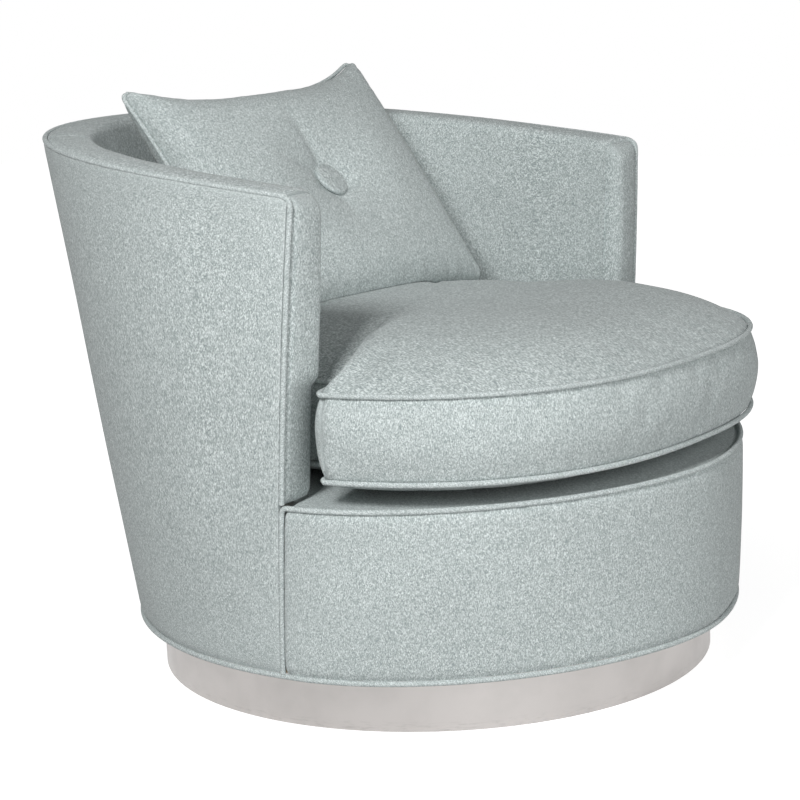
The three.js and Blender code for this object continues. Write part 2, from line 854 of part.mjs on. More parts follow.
function makeDeck() {
  const front = panelPlaces(stepBack(2 * weltRadius));
  const rear = wallPlaces(stepBack(weltRadius)).reverse();
  const centre = new THREE.Vector2(0, bottomCentreY);
  const ring = (share, z) => {
    const level = Math.min(z, deckEdge);
    const wallLevel = Math.max(level, padFoot);
    const outline = [
      ...front.map((v) => panelPoint(v, level, behindWelt + clearance)),
      ...rear.map((u) => wallPoint(u, wallLevel, wallThickness(u, wallLevel) + frameGap)),
    ];
    return outline.map((p) => at(p.lerp(centre, 1 - share), z));
  };
  const loops = [
    ring(0.68, deckFoot + springBow),
    ring(0.87, deckFoot),
    ring(1, deckFoot),
    ring(1, padFoot),
    ring(1, deckEdgeTop - roundOver / 4),
    ring(0.985, deckEdgeTop),
    ring(0.8, deckEdgeTop + deckCrown),
  ];
  piece("deck_pad", skin(loops), cloth);
}

function makeOutsideCover() {
  const end = stepBack(2 * weltRadius + frameGap);
  const top = (u) => railHeight(u) - weltInset - weltRadius - 2 * clearance;
  const sections = wallPlaces(end).map((u) => {
    const levels = [bodyBottom, deckEdge, ...swellHeights(u), top(u)];
    return [
      ...levels.map((z) => onWall(u, z, 0)),
      ...levels.reverse().map((z) => onWall(u, z, coverThickness)),
    ];
  });
  piece("outside_cover", skin(sections), cloth);
}

// Inside pad and top band in one: foam down the inner face, rounded over the rail to the outer welt.
function makeInsidePad() {
  const end = stepBack(armFrontPad + clearance);
  const sections = wallPlaces(end).map((u) => {
    const top = railHeight(u);
    const inner = (z) => wallThickness(u, z);
    const back = (z) => inner(z) - padThickness(u, z);
    const under = top - bandPad;
    const stops = [deckEdge, ...swellHeights(u)];
    const face = [top - roundOver, ...[...stops].reverse(), padFoot];
    return [
      onWall(u, under, behindWelt),
      onWall(u, top - 0.25 * bandPad, behindWelt),
      onWall(u, top, behindWelt + 0.25 * bandPad),
      onWall(u, top + 0.1 * bandPad, inner(top) * 0.6),
      onWall(u, top - 0.07 * roundOver, inner(top) - 0.6 * roundOver),
      onWall(u, top - 0.35 * roundOver, inner(top) - 0.16 * roundOver),
      ...face.map((z) => onWall(u, z, inner(z))),
      ...[padFoot, ...stops, under].map((z) => onWall(u, z, back(z))),
    ];
  });
  piece("inside_pad", skin(sections), cloth);
}

function makeArmFronts() {
  const foot = deckEdgeTop + clearance + weltRadius;
  const cut = armFrontPad - clearance;
  const places = [
    [stepBack(cut), 0],
    [stepBack(0.45 * roundOver), 0],
    [stepBack(0.12 * roundOver), 0.25 * roundOver],
    [1, 0.7 * roundOver],
  ];
  for (const side of [-1, 1]) {
    const sections = places.map(([u, shrink]) => {
      const top = railHeight(stepBack(armCornerRadius * 0.5)) - shrink;
      const reach = railHeight(u) - shrink * 0.3;
      const high = Math.min(top, reach);
      const levels = [foot, ...swellHeights(u), high];
      return [
        ...levels.map((z) => onWall(side * u, z, behindWelt + clearance + shrink * 0.2)),
        onWall(side * u, high, wallThickness(u, high) - shrink - 0.5 * roundOver),
        ...levels.reverse().map((z) => {
          const nip = z === high ? 0.2 * roundOver : 0;
          return onWall(side * u, z - nip, wallThickness(u, z) - shrink);
        }),
      ];
    });
    piece(side < 0 ? "arm_front_left" : "arm_front_right", skin(sections), cloth);
  }
}

function makeFrontPanel() {
  const end = 1 - (2 * clearance) / wallHalfLength;
  const top = deckEdge - 2 * clearance;
  const sections = panelPlaces(end).map((v) => [
    onPanel(v, bodyBottom, 0),
    onPanel(v, mix(bodyBottom, top, 0.5), -clearance),
    onPanel(v, top, 0),
    onPanel(v, top, behindWelt - clearance),
    onPanel(v, deckFoot - clearance, behindWelt - clearance),
    onPanel(v, deckFoot - clearance, panelPad),
    onPanel(v, bodyBottom, panelPad),
  ]);
  piece("front_panel", skin(sections), cloth);
}

function makeBodyWelts() {
  const edge = stepBack(weltRadius);
  const bottomZ = bodyBottom - clearance - weltRadius;
  const outline = bodyOutline(bodyBottom, weltInset, weltInset, 2 * weltRadius);
  piece(
    "bottom_welt",
    cord(outline.map((p) => at(p, bottomZ)), weltRadius, weltSides, true),
    weltCloth,
  );
  const panelTop = deckEdge + weltRadius;
  const sideLevels = (low, high, count) =>
    Array.from({ length: count }, (_, i) => mix(low, high, i / (count - 1)));
  const riseLow = bodyBottom + clearance;
  const side = (sign) =>
    sideLevels(riseLow, panelTop - weltRadius, 4).map((z) => onWall(sign * edge, z, weltInset));
  const across = panelPlaces(stepBack(weltRadius)).map((v) => onPanel(v, deckEdge, weltInset));
  across.forEach((p) => {
    p.z = panelTop;
  });
  piece(
    "panel_welt",
    cord([...side(-1), ...across, ...side(1).reverse()], weltRadius, weltSides, false,
      new THREE.Vector3(1, 0, 0)),
    weltCloth,
  );
  const armFoot = panelTop + weltRadius + 2 * clearance;
  const armTop = (u) => railHeight(u) - weltInset;
  const rise = (sign) =>
    sideLevels(armFoot, armTop(edge) - weltRadius, 5).map((z) =>
      onWall(sign * edge, z, weltInset),
    );
  const over = wallPlaces(stepBack(1.5 * weltRadius)).map((u) => onWall(u, armTop(u), weltInset));
  piece(
    "arm_and_back_welt",
    cord([...rise(-1), ...over, ...rise(1).reverse()], weltRadius, weltSides, false,
      new THREE.Vector3(1, 0, 0)),
    weltCloth,
  );
}

function makeDustCover() {
  const outline = bodyOutline(bodyBottom, 2 * behindWelt, 2 * behindWelt, behindWelt);
  const shape = new THREE.Shape(outline);
  drillHole(shape, axis, plateWidth * 0.74);
  piece("dust_cover", plate(shape, clearance * 4, frameFoot - clearance * 5, 12), cambric);
}

// Seat cushion: a T plan whose ears wrap the arm fronts

const cushionPlan = {
  halfWidth: cushionHalfWidth,
  halfDepth: cushionHalfDepth,
  centreY: cushionCentreY,
  power: cushionPower,
};

function cushionOutline() {
  const span = radians(earSpanDeg);
  const front = Array.from({ length: frontStations + 1 }, (_, i) =>
    planPoint(cushionPlan, mix(-span, span, i / frontStations)),
  );
  const ear = front[frontStations];
  const armFace = wallPoint(1, cushionSeamHigh, armThickness).y;
  const notch = new THREE.Vector2(earNotchX, armFace - earNotchSetOff);
  const earBack = ear.clone().lerp(notch, earRound / ear.distanceTo(notch));
  earBack.y += earRound * 0.2;
  const end = stepBack(armFrontPad);
  const rear = Array.from({ length: rearStations + 1 }, (_, i) => {
    const u = mix(end, -end, i / rearStations);
    const depth = wallThickness(u, cushionSeamLow) + cushionFit + cushionBulge;
    const p = wallPoint(u, cushionSeamLow, depth);
    p.x = THREE.MathUtils.clamp(p.x, -earNotchX, earNotchX);
    return p;
  });
  const mirrored = (p) => new THREE.Vector2(-p.x, p.y);
  return [...front, earBack, notch, ...rear, mirrored(notch), mirrored(earBack)];
}

// Outline pushed outward along its own normals.
function outset(outline, distance) {
  const count = outline.length;
  return outline.map((p, i) => {
    const before = outline[(i + count - 1) % count];
    const after = outline[(i + 1) % count];
    const along = after.clone().sub(before).normalize();
    return new THREE.Vector2(p.x + along.y * distance, p.y - along.x * distance);
  });
}

// The seat cushion rests on the deck's crown.
const cushionFoot = deckEdgeTop + deckCrown + clearance;

function makeSeatCushion() {
  const outline = cushionOutline();
  const centre = new THREE.Vector2(0, cushionCentreY);
  const ring = (share, z, push = 0) =>
    outset(outline, push).map((p) => at(p.lerp(centre, 1 - share), z));
  const thickness = cushionSeamHigh - cushionSeamLow;
  const top = (share) => cushionSeamHigh + cushionCrown * (1 - share ** 4.2);
  const belly = (share) => mix(cushionFoot, cushionSeamLow, share ** 6);
  const loops = [
    ring(0.5, belly(0)),
    ring(0.8, belly(0.8)),
    ring(0.93, belly(0.93)),
    ring(1, cushionSeamLow - seamReach, 0),
    ring(1, cushionSeamLow, -seamReach),
    ring(1, cushionSeamLow + seamReach, 0),
    ring(1, cushionSeamLow + thickness * 0.3, cushionBulge * 0.85),
    ring(1, cushionSeamLow + thickness * 0.6, cushionBulge),
    ring(1, cushionSeamHigh - seamReach, 0),
    ring(1, cushionSeamHigh, -seamReach),
    ring(1, cushionSeamHigh + seamReach, -clearance),
    ring(0.93, top(0.93)),
    ring(0.83, top(0.83)),
    ring(0.68, top(0.68)),
    ring(0.4, top(0.4)),
  ];
  piece("seat_cushion", skin(loops), cloth);
  for (const [name, z] of [
    ["cushion_welt_top", cushionSeamHigh],
    ["cushion_welt_bottom", cushionSeamLow],
  ]) {
    const points = outline.map((p) => at(p, z));
    piece(name, cord(points, weltRadius, weltSides, true), weltCloth);
  }
}

function cornersOf(mesh) {
  const places = mesh.geometry.getAttribute("position");
  return Array.from({ length: places.count }, (_, i) =>
    new THREE.Vector3().fromBufferAttribute(places, i).applyMatrix4(mesh.matrixWorld),
  );
}

function leastDrop(points, direction, targets) {
  const probe = new THREE.Raycaster();
  const drops = points.map((point) => {
    probe.set(point, direction);
    return probe.intersectObjects(targets, false)[0]?.distance ?? Infinity;
  });
  return Math.min(...drops);
}

// Lets an object down along a direction until its parts lie the clearance from what they land on.
function settle(object, parts, direction, targets) {
  chair.updateMatrixWorld(true);
  const drop = Math.min(
    leastDrop(parts.flatMap(cornersOf), direction, targets),
    leastDrop(targets.flatMap(cornersOf), direction.clone().negate(), parts),
  );
  object.position.addScaledVector(direction, drop - clearance);
}

// Back pillow: two plump faces meeting in a seam, pulled together by a button each side

function pillowFace(a, b) {
  const fall = (share) => 1 - Math.abs(share) ** 2.6;
  const swell = (pillowPlump / 2) * Math.sqrt(Math.max(fall(a) * fall(b), 0));
  const up = (b * pillowHeight) / 2 + tuftBelowCentre;
  const reach = Math.hypot((a * pillowWidth) / 2, up) / tuftSpread;
  return swell - tuftDepth * Math.exp(-reach * reach);
}

function pillowPoint(a, b, side) {
  const x = ((a * pillowWidth) / 2) * (1 - pillowDrawIn_share * (1 - b * b));
  const y = ((b * pillowHeight) / 2) * (1 - pillowDrawIn_share * (1 - a * a));
  const isEdge = Math.abs(a) === 1 || Math.abs(b) === 1;
  return new THREE.Vector3(x, y, isEdge ? 0 : side * pillowFace(a, b));
}

// Grid places across the pillow, closer together towards its seams.
function pillowStop(i) {
  const share = i / pillowGrid - 0.5;
  return (Math.sin(share * Math.PI) + share * 2) / 2;
}

function pillowBody() {
  const positions = [];
  const index = [];
  const wide = pillowGrid + 1;
  for (const side of [1, -1]) {
    const base = positions.length / 3;
    for (let j = 0; j < wide; j++)
      for (let i = 0; i < wide; i++)
        positions.push(...pillowPoint(pillowStop(i), pillowStop(j), side).toArray());
    for (let j = 0; j < pillowGrid; j++)
      for (let i = 0; i < pillowGrid; i++) {
        const p = base + j * wide + i;
        const quad = [p, p + 1, p + 1 + wide, p, p + 1 + wide, p + wide];
        if (side < 0) quad.reverse();
        index.push(...quad);
      }
  }
  const geometry = new THREE.BufferGeometry();
  geometry.setAttribute("position", new THREE.Float32BufferAttribute(positions, 3));
  geometry.setIndex(index);
  const bore = new THREE.CylinderGeometry(twineBore, twineBore, pillowPlump * 2, 8);
  bore.rotateX(Math.PI / 2).translate(0, -tuftBelowCentre, 0);
  return geometryOf(solid(geometry).subtract(solid(bore)));
}

function pillowSeam() {
  const run = Array.from({ length: pillowGrid }, (_, i) => pillowStop(i));
  return [
    ...run.map((a) => pillowPoint(a, -1, 0)),
    ...run.map((b) => pillowPoint(1, b, 0)),
    ...run.map((a) => pillowPoint(-a, 1, 0)),
    ...run.map((b) => pillowPoint(-1, -b, 0)),
  ];
}

function makePillow() {
  const pillow = new THREE.Group();
  chair.add(pillow);
  const body = piece("back_pillow", pillowBody(), cloth, pillow);
  const seam = pillowSeam();
  const flat = outset(seam, pillowWelt + clearance * 2);
  const welt = cord(flat.map((p) => at(p, 0)), pillowWelt, weltSides, true);
  piece("pillow_welt", welt, weltCloth, pillow);
  const profile = [
    [0, 0],
    [buttonRadius * 0.82, 0],
    [buttonRadius, buttonHeight * 0.3],
    [buttonRadius * 0.94, buttonHeight * 0.62],
    [buttonRadius * 0.7, buttonHeight * 0.88],
    [0, buttonHeight],
  ];
  const buttons = [["pillow_button_front", 1], ["pillow_button_back", -1]].map(([name, side]) => {
    const button = revolve(profile, 20);
    if (side < 0) button.rotateX(Math.PI);
    const mesh = piece(name, button, cloth, pillow);
    mesh.position.set(0, -tuftBelowCentre, side * (pillowPlump / 2 + overrun));
    settle(mesh, [mesh], new THREE.Vector3(0, 0, -side), [body]);
    return mesh;
  });
  const reach = Math.min(...buttons.map((mesh) => Math.abs(mesh.position.z))) - clearance;
  const twine = new THREE.CylinderGeometry(twineRadius, twineRadius, 2 * reach, 6);
  twine.rotateX(Math.PI / 2).translate(0, -tuftBelowCentre, 0);
  piece("tufting_twine", twine, hemp, pillow);
  return pillow;
}

// The pillow's face looks forward and up; its lower seam is let down onto the cushion's crown.
function placePillow(pillow) {
  pillow.rotation.order = "ZXY";
  pillow.rotation.z = radians(pillowTurnDeg);
  pillow.rotation.x = Math.PI / 2 - radians(pillowTiltDeg);
  pillow.rotateZ(radians(pillowRollDeg));
  pillow.updateMatrixWorld(true);
  const lowest = new THREE.Box3().setFromObject(pillow, true).min.z;
  const above = cushionSeamHigh + cushionCrown + overrun;
  const upper = new THREE.Vector3(0, pillowHeight / 2, 0).applyEuler(pillow.rotation);
  pillow.position.set(pillowX, pillowBack - upper.y, above - lowest);
  const soft = ["back_pillow", "pillow_welt"].map((name) => chair.getObjectByName(name));
  settle(pillow, soft, new THREE.Vector3(0, 0, -1), [chair.getObjectByName("seat_cushion")]);
}

makePlinth();
makeBaseBoard();
makeSwivel();
makeBottomBoard();
makeTubFrame();
makeSeatFrame();
makeSprings();
makeFrontBoard();
makeDeck();
makeOutsideCover();
makeInsidePad();
makeArmFronts();
makeFrontPanel();
makeBodyWelts();
makeDustCover();
makeSeatCushion();
placePillow(makePillow());

// The origin is the middle of the chair's footprint, on the floor.
const group = new THREE.Group();
group.add(chair);
group.updateMatrixWorld(true);
const bounds = new THREE.Box3().setFromObject(chair, true);
chair.position.y = -(bounds.min.y + bounds.max.y) / 2;

export default group;
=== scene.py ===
"""Swivel barrel chair: a round upholstered tub that turns on a low steel-wrapped plinth.

The tub's cloth, pads and piping, the loose seat cushion and the back pillow are made here over the
CAD frame; the hidden timber, springs and swivel keep their CAD shapes and get their finishes.
Everything is in metres in the CAD's frame: +Z up, the chair's front towards -Y.
"""
import logging
import math
from dataclasses import dataclass, field
from enum import Enum
from typing import Callable

import bmesh
import bpy
from mathutils import Euler, Matrix, Vector, noise
from mathutils.bvhtree import BVHTree


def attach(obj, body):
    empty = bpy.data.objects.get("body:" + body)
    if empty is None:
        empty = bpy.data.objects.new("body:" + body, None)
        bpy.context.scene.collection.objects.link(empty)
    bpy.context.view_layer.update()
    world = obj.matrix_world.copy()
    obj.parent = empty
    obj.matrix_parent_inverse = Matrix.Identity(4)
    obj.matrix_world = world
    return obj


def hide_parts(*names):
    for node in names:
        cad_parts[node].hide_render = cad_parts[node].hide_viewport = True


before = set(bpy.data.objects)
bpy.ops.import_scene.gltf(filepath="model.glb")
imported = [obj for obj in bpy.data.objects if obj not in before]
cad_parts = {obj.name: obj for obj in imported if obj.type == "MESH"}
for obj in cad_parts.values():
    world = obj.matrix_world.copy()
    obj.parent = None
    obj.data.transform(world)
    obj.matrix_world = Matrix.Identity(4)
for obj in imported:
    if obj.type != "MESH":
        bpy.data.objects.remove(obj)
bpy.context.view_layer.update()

LOG = logging.getLogger("chair")
AXIS_Y = -0.0338  # where the swivel axis stands; it is at X 0
MERGE = 2e-5  # corners nearer than this become one
CRISP = math.radians(58)  # edges bent by more than this stay sharp
DOWN = Vector((0, 0, -1))
UP = Vector((0, 0, 1))
ACROSS = Vector((1, 0, 0))

Place = Callable[[float, float], Vector]
Flat = Callable[[float, float], tuple[float, float]]
Triple = tuple[float, float, float]


class Side(Enum):
    """The sitter's left or right as seen from the front; the value is the sign of X."""

    LEFT = -1
    RIGHT = 1


def mix(start: float, end: float, share: float) -> float:
    """Straight blend between two numbers."""
    return start + (end - start) * share


def clamp(value: float, low: float = 0.0, high: float = 1.0) -> float:
    """The value held between two limits."""
    return max(low, min(high, value))


def smooth(low: float, high: float, value: float) -> float:
    """An S-shaped step from 0 at low to 1 at high."""
    share = clamp((value - low) / (high - low))
    return share * share * (3 - 2 * share)


def eased(share: float) -> float:
    """A share from 0 to 1 that starts and ends slowly, for rows that close up at both edges."""
    return 0.5 - 0.5 * math.cos(math.pi * share)


def bell(distance: float, width: float) -> float:
    """A soft bump: 1 at no distance, fading over the width."""
    return math.exp(-((distance / width) ** 2))


def ripple(x: float, y: float, z: float = 0.0) -> float:
    """Smooth wandering noise between about -1 and 1, the same on each run."""
    return noise.noise(Vector((x, y, z)))


# ---------------------------------------------------------------- mesh helpers


@dataclass(frozen=True)
class Patch:
    """A cut of cloth: a grid bent into place, with its own weave directions."""

    across: int
    along: int
    place: Place
    weave: Flat

    def lay(self, mesh: bmesh.types.BMesh) -> None:
        """Adds the patch to a mesh.

        Args:
            mesh: The mesh that is being sewn.
        """
        layer = mesh.loops.layers.uv.get("weave") or mesh.loops.layers.uv.new("weave")
        made = bmesh.ops.create_grid(mesh, x_segments=self.across, y_segments=self.along, size=0.5)
        corners = made["verts"]
        spots = {
            v: (round((v.co.x + 0.5) * self.across), round((v.co.y + 0.5) * self.along))
            for v in corners
        }
        for face in {f for v in corners for f in v.link_faces}:
            for loop in face.loops:
                i, j = spots[loop.vert]
                loop[layer].uv = self.weave(i / self.across, j / self.along)
        for v, (i, j) in spots.items():
            v.co = self.place(i / self.across, j / self.along)


def strip(first: Place, level: float, second: Place, end: float) -> Place:
    """A narrow cut that joins an edge of one cut to an edge of another.

    Args:
        first: The cut that it starts from.
        level: The first cut's edge, 0 or 1.
        second: The cut that it ends at.
        end: The second cut's edge, 0 or 1.

    Returns:
        The strip's own placing.
    """
    def place(a: float, b: float) -> Vector:
        return first(a, level).lerp(second(a, end), b)
    return place


def sew(name: str, patches: list[Patch], merge: float = MERGE) -> bpy.types.Object:
    """Joins patches along their shared edges into one closed piece.

    Args:
        name: The piece's name.
        patches: The cuts that meet edge to edge.
        merge: How near two corners lie to become one.

    Returns:
        The new object, at the origin.
    """
    mesh = bmesh.new()
    for patch in patches:
        patch.lay(mesh)
    return close(name, mesh, merge)


def lined(name: str, wide: int, tall: int, outer: Place, inner: Place, weave: Flat) -> bpy.types.Object:
    """Sews a cut of cloth to its plain back, with a strip along the foot and one along the top.

    Args:
        name: The piece's name.
        wide: Steps across.
        tall: Steps up the cloth.
        outer: Placing of the cloth.
        inner: Placing of its back.
        weave: The weave map of both.

    Returns:
        The new object, at the origin.
    """
    return sew(name, [
        Patch(wide, tall, outer, weave),
        Patch(wide, 2, inner, weave),
        Patch(wide, 2, strip(outer, 0, inner, 0), weave),
        Patch(wide, 2, strip(outer, 1, inner, 1), weave),
    ])


def close(name: str, mesh: bmesh.types.BMesh, merge: float = MERGE) -> bpy.types.Object:
    """Merges, caps and turns a mesh outwards, and makes it an object.

    Args:
        name: The piece's name.
        mesh: The mesh, which is freed.
        merge: How near two corners lie to become one.

    Returns:
        The new object, at the origin.
    """
    bmesh.ops.remove_doubles(mesh, verts=mesh.verts, dist=merge)
    bmesh.ops.dissolve_degenerate(mesh, edges=mesh.edges, dist=merge / 4)
    edges = [e for e in mesh.edges if e.is_boundary]
    if edges:
        bmesh.ops.holes_fill(mesh, edges=edges, sides=0)
    bmesh.ops.recalc_face_normals(mesh, faces=mesh.faces)
    data = bpy.data.meshes.new(name)
    mesh.to_mesh(data)
    mesh.free()
    data.polygons.foreach_set("use_smooth", [True] * len(data.polygons))
    data.set_sharp_from_angle(angle=CRISP)
    piece = bpy.data.objects.new(name, data)
    bpy.context.scene.collection.objects.link(piece)
    return piece


def spun(name: str, profile: list[tuple[float, float]], steps: int, crease: float) -> bpy.types.Object:
    """Turns a profile of radius and height about the swivel axis.

    Args:
        name: The piece's name.
        profile: Closed run of (radius, height).
        steps: Facets round the turn.
        crease: Edges bent by more than this many degrees stay crisp.

    Returns:
        The new object.
    """
    mesh = bmesh.new()
    verts = [mesh.verts.new((radius, 0, height)) for radius, height in profile]
    loop = [mesh.edges.new((verts[i - 1], verts[i])) for i in range(len(verts))]
    bmesh.ops.spin(
        mesh, geom=verts + loop, cent=(0, 0, 0), axis=(0, 0, 1), dvec=(0, 0, 0),
        angle=2 * math.pi, steps=steps, use_merge=True, use_duplicate=False,
    )
    bmesh.ops.translate(mesh, verts=mesh.verts, vec=(0, AXIS_Y, 0))
    piece = close(name, mesh)
    piece.data.set_sharp_from_angle(angle=math.radians(crease))
    return piece


class Line:
    """A run of points that can be asked for any place along it."""

    def __init__(self, points: list[Vector], ring: bool) -> None:
        """Keeps the points; a ring joins its last point to its first."""
        self.points = points
        self.ring = ring

    def rounded(self, times: int) -> "Line":
        """Cuts each corner a few times.

        Args:
            times: How often every corner is cut.

        Returns:
            The softened line.
        """
        points = self.points
        for _ in range(times):
            cut = []
            runs = len(points) if self.ring else len(points) - 1
            for i in range(runs):
                here, there = points[i], points[(i + 1) % len(points)]
                cut += [here.lerp(there, 0.25), here.lerp(there, 0.75)]
            points = cut if self.ring else [points[0], *cut[1:-1], points[-1]]
        return Line(points, self.ring)

    def spaced(self, count: int) -> "Line":
        """Lays the points out again at even steps.

        Args:
            count: Number of steps.

        Returns:
            The line with even steps.
        """
        points = [*self.points, self.points[0]] if self.ring else self.points
        reach = [0.0]
        for before, after in zip(points, points[1:]):
            reach.append(reach[-1] + (after - before).length)
        made, k = [], 0
        for i in range(count if self.ring else count + 1):
            goal = reach[-1] * i / count
            while k < len(points) - 2 and reach[k + 1] < goal:
                k += 1
            share = (goal - reach[k]) / max(reach[k + 1] - reach[k], 1e-12)
            made.append(points[k].lerp(points[k + 1], clamp(share)))
        return Line(made, self.ring)

    def at(self, share: float) -> Vector:
        """The point at a share of the line's steps."""
        count = len(self.points) if self.ring else len(self.points) - 1
        place = share * count
        step = min(int(place + 1e-6), count - 1)
        here = self.points[step]
        return here.lerp(self.points[(step + 1) % len(self.points)], place - step)

    def along(self, share: float) -> Vector:
        """The line's direction at a share of its steps."""
        count = len(self.points) if self.ring else len(self.points) - 1
        step = share * count
        if self.ring:
            before, after = (int(step - 1) % count), (int(step + 1) % count)
        else:
            before, after = max(int(step - 0.5), 0), min(int(step + 1), count)
        return (self.points[after] - self.points[before]).normalized()

    def length(self) -> float:
        """How long the line is."""
        points = [*self.points, self.points[0]] if self.ring else self.points
        return sum((b - a).length for a, b in zip(points, points[1:]))


@dataclass(frozen=True)
class Piping:
    """Covered cord sewn along a seam."""

    radius: float
    sides: int = 14
    pucker: float = 0.00012

    def run(self, name: str, line: Line, guide: Vector) -> bpy.types.Object:
        """Sweeps the cord along a line.

        Args:
            name: The piece's name.
            line: The cord's centreline.
            guide: Direction that the section's first corner starts towards.

        Returns:
            The piping, closed at its ends.
        """
        count = len(line.points) if line.ring else len(line.points) - 1
        sides, frames = guide.copy(), []
        for i in range(count + 1):
            ahead = line.along(i / count if not line.ring else (i % count) / count)
            across = (sides - ahead * sides.dot(ahead)).normalized()
            sides = guide if line.ring else across
            frames.append((across, ahead.cross(across)))
        total = line.length()

        def place(a: float, b: float) -> Vector:
            i = round(a * count)
            across, up = frames[i]
            turn = 2 * math.pi * (round(b * self.sides) % self.sides) / self.sides
            centre = line.points[i % len(line.points)]
            swell = self.pucker * ripple(a * total * 210, math.cos(turn), math.sin(turn))
            return centre + (across * math.cos(turn) + up * math.sin(turn)) * (self.radius + swell)

        def weave(a: float, b: float) -> tuple[float, float]:
            return a * total, b * 2 * math.pi * self.radius

        return sew(name, [Patch(count, self.sides, place, weave)])


# ---------------------------------------------------------------- finishes


class Recipe:
    """Builds one node material, or the world, step by step."""

    def __init__(self, name: str, world: bool = False) -> None:
        """Starts an empty material or world with its output."""
        self.made = bpy.data.worlds.new(name) if world else bpy.data.materials.new(name)
        self.made.use_nodes = True
        self.tree = self.made.node_tree
        self.tree.nodes.clear()
        self.out = self.add("OutputWorld" if world else "OutputMaterial")

    def add(self, kind: str, *links: object, **settings: object) -> bpy.types.Node:
        """Adds a node.

        Args:
            kind: The node's type, without its ShaderNode prefix.
            links: A socket or number for each input in order; None leaves it as it is.
            settings: Properties of the node.

        Returns:
            The node.
        """
        node = self.tree.nodes.new("ShaderNode" + kind)
        for key, value in settings.items():
            setattr(node, key, value)
        for i, link in enumerate(links):
            self.put(node.inputs[i], link)
        return node

    def put(self, socket: bpy.types.NodeSocket, link: object) -> None:
        """Links a socket to another, or sets its value; None leaves it."""
        if isinstance(link, bpy.types.NodeSocket):
            self.tree.links.new(link, socket)
        elif link is not None:
            socket.default_value = link

    def maths(self, how: str, *links: object) -> bpy.types.NodeSocket:
        """A Math node's result."""
        return self.add("Math", *links, operation=how).outputs[0]

    def times(self, first: object, second: object) -> bpy.types.NodeSocket:
        """Two values multiplied."""
        return self.maths("MULTIPLY", first, second)

    def plus(self, first: object, second: object) -> bpy.types.NodeSocket:
        """Two values added."""
        return self.maths("ADD", first, second)

    def noise(
        self, where: object, scale: float, detail: float = 2.0, rough: float = 0.5
    ) -> bpy.types.NodeSocket:
        """A noise texture's value, about 0.5."""
        node = self.add("TexNoise", where)
        node.inputs["Scale"].default_value = scale
        node.inputs["Detail"].default_value = detail
        node.inputs["Roughness"].default_value = rough
        return node.outputs[0]

    def stretched(self, where: object, scale: Triple, turn: float = 0.0) -> bpy.types.NodeSocket:
        """The coordinates scaled and turned about Z."""
        node = self.add("Mapping", where, vector_type="POINT")
        node.inputs["Rotation"].default_value = (0, 0, turn)
        node.inputs["Scale"].default_value = scale
        return node.outputs[0]

    def ramp(self, fac: bpy.types.NodeSocket, stops: list[tuple[float, Triple]]) -> bpy.types.NodeSocket:
        """A colour ramp through (place, colour) stops."""
        node = self.add("ValToRGB", fac)
        band = node.color_ramp
        while len(band.elements) < len(stops):
            band.elements.new(0.5)
        for element, (place, colour) in zip(band.elements, stops):
            element.position = place
            element.color = (*colour, 1)
        return node.outputs[0]

    def blend(self, fac: object, a: object, b: object, how: str = "MIX") -> bpy.types.NodeSocket:
        """Two colours mixed."""
        node = self.add("Mix", data_type="RGBA", blend_type=how)
        self.put(node.inputs[0], fac)
        self.put(node.inputs[6], a)
        self.put(node.inputs[7], b)
        return node.outputs[2]

    def range(
        self, value: bpy.types.NodeSocket, low: float, high: float, to_low: float, to_high: float
    ) -> bpy.types.NodeSocket:
        """A value moved from one range to another."""
        return self.add("MapRange", value, low, high, to_low, to_high).outputs[0]

    def bump(self, height: bpy.types.NodeSocket, strength: float, distance: float) -> bpy.types.NodeSocket:
        """A bump normal from a height."""
        node = self.add("Bump")
        node.inputs["Strength"].default_value = strength
        node.inputs["Distance"].default_value = distance
        self.put(node.inputs["Height"], height)
        return node.outputs[0]

    def finish(self, colour: object, roughness: object, normal: object, **fixed: float) -> bpy.types.Material:
        """Ends the material in one Principled shader.

        Args:
            colour: Base colour socket or value.
            roughness: Roughness socket or value.
            normal: Normal socket or None.
            fixed: Plain numbers for the shader's own sockets, with _ for a space.

        Returns:
            The material.
        """
        shader = self.add("BsdfPrincipled")
        self.put(shader.inputs["Base Color"], colour)
        self.put(shader.inputs["Roughness"], roughness)
        self.put(shader.inputs["Normal"], normal)
        for key, value in fixed.items():
            shader.inputs[key.replace("_", " ")].default_value = value
        self.put(self.out.inputs[0], shader.outputs[0])
        return self.made


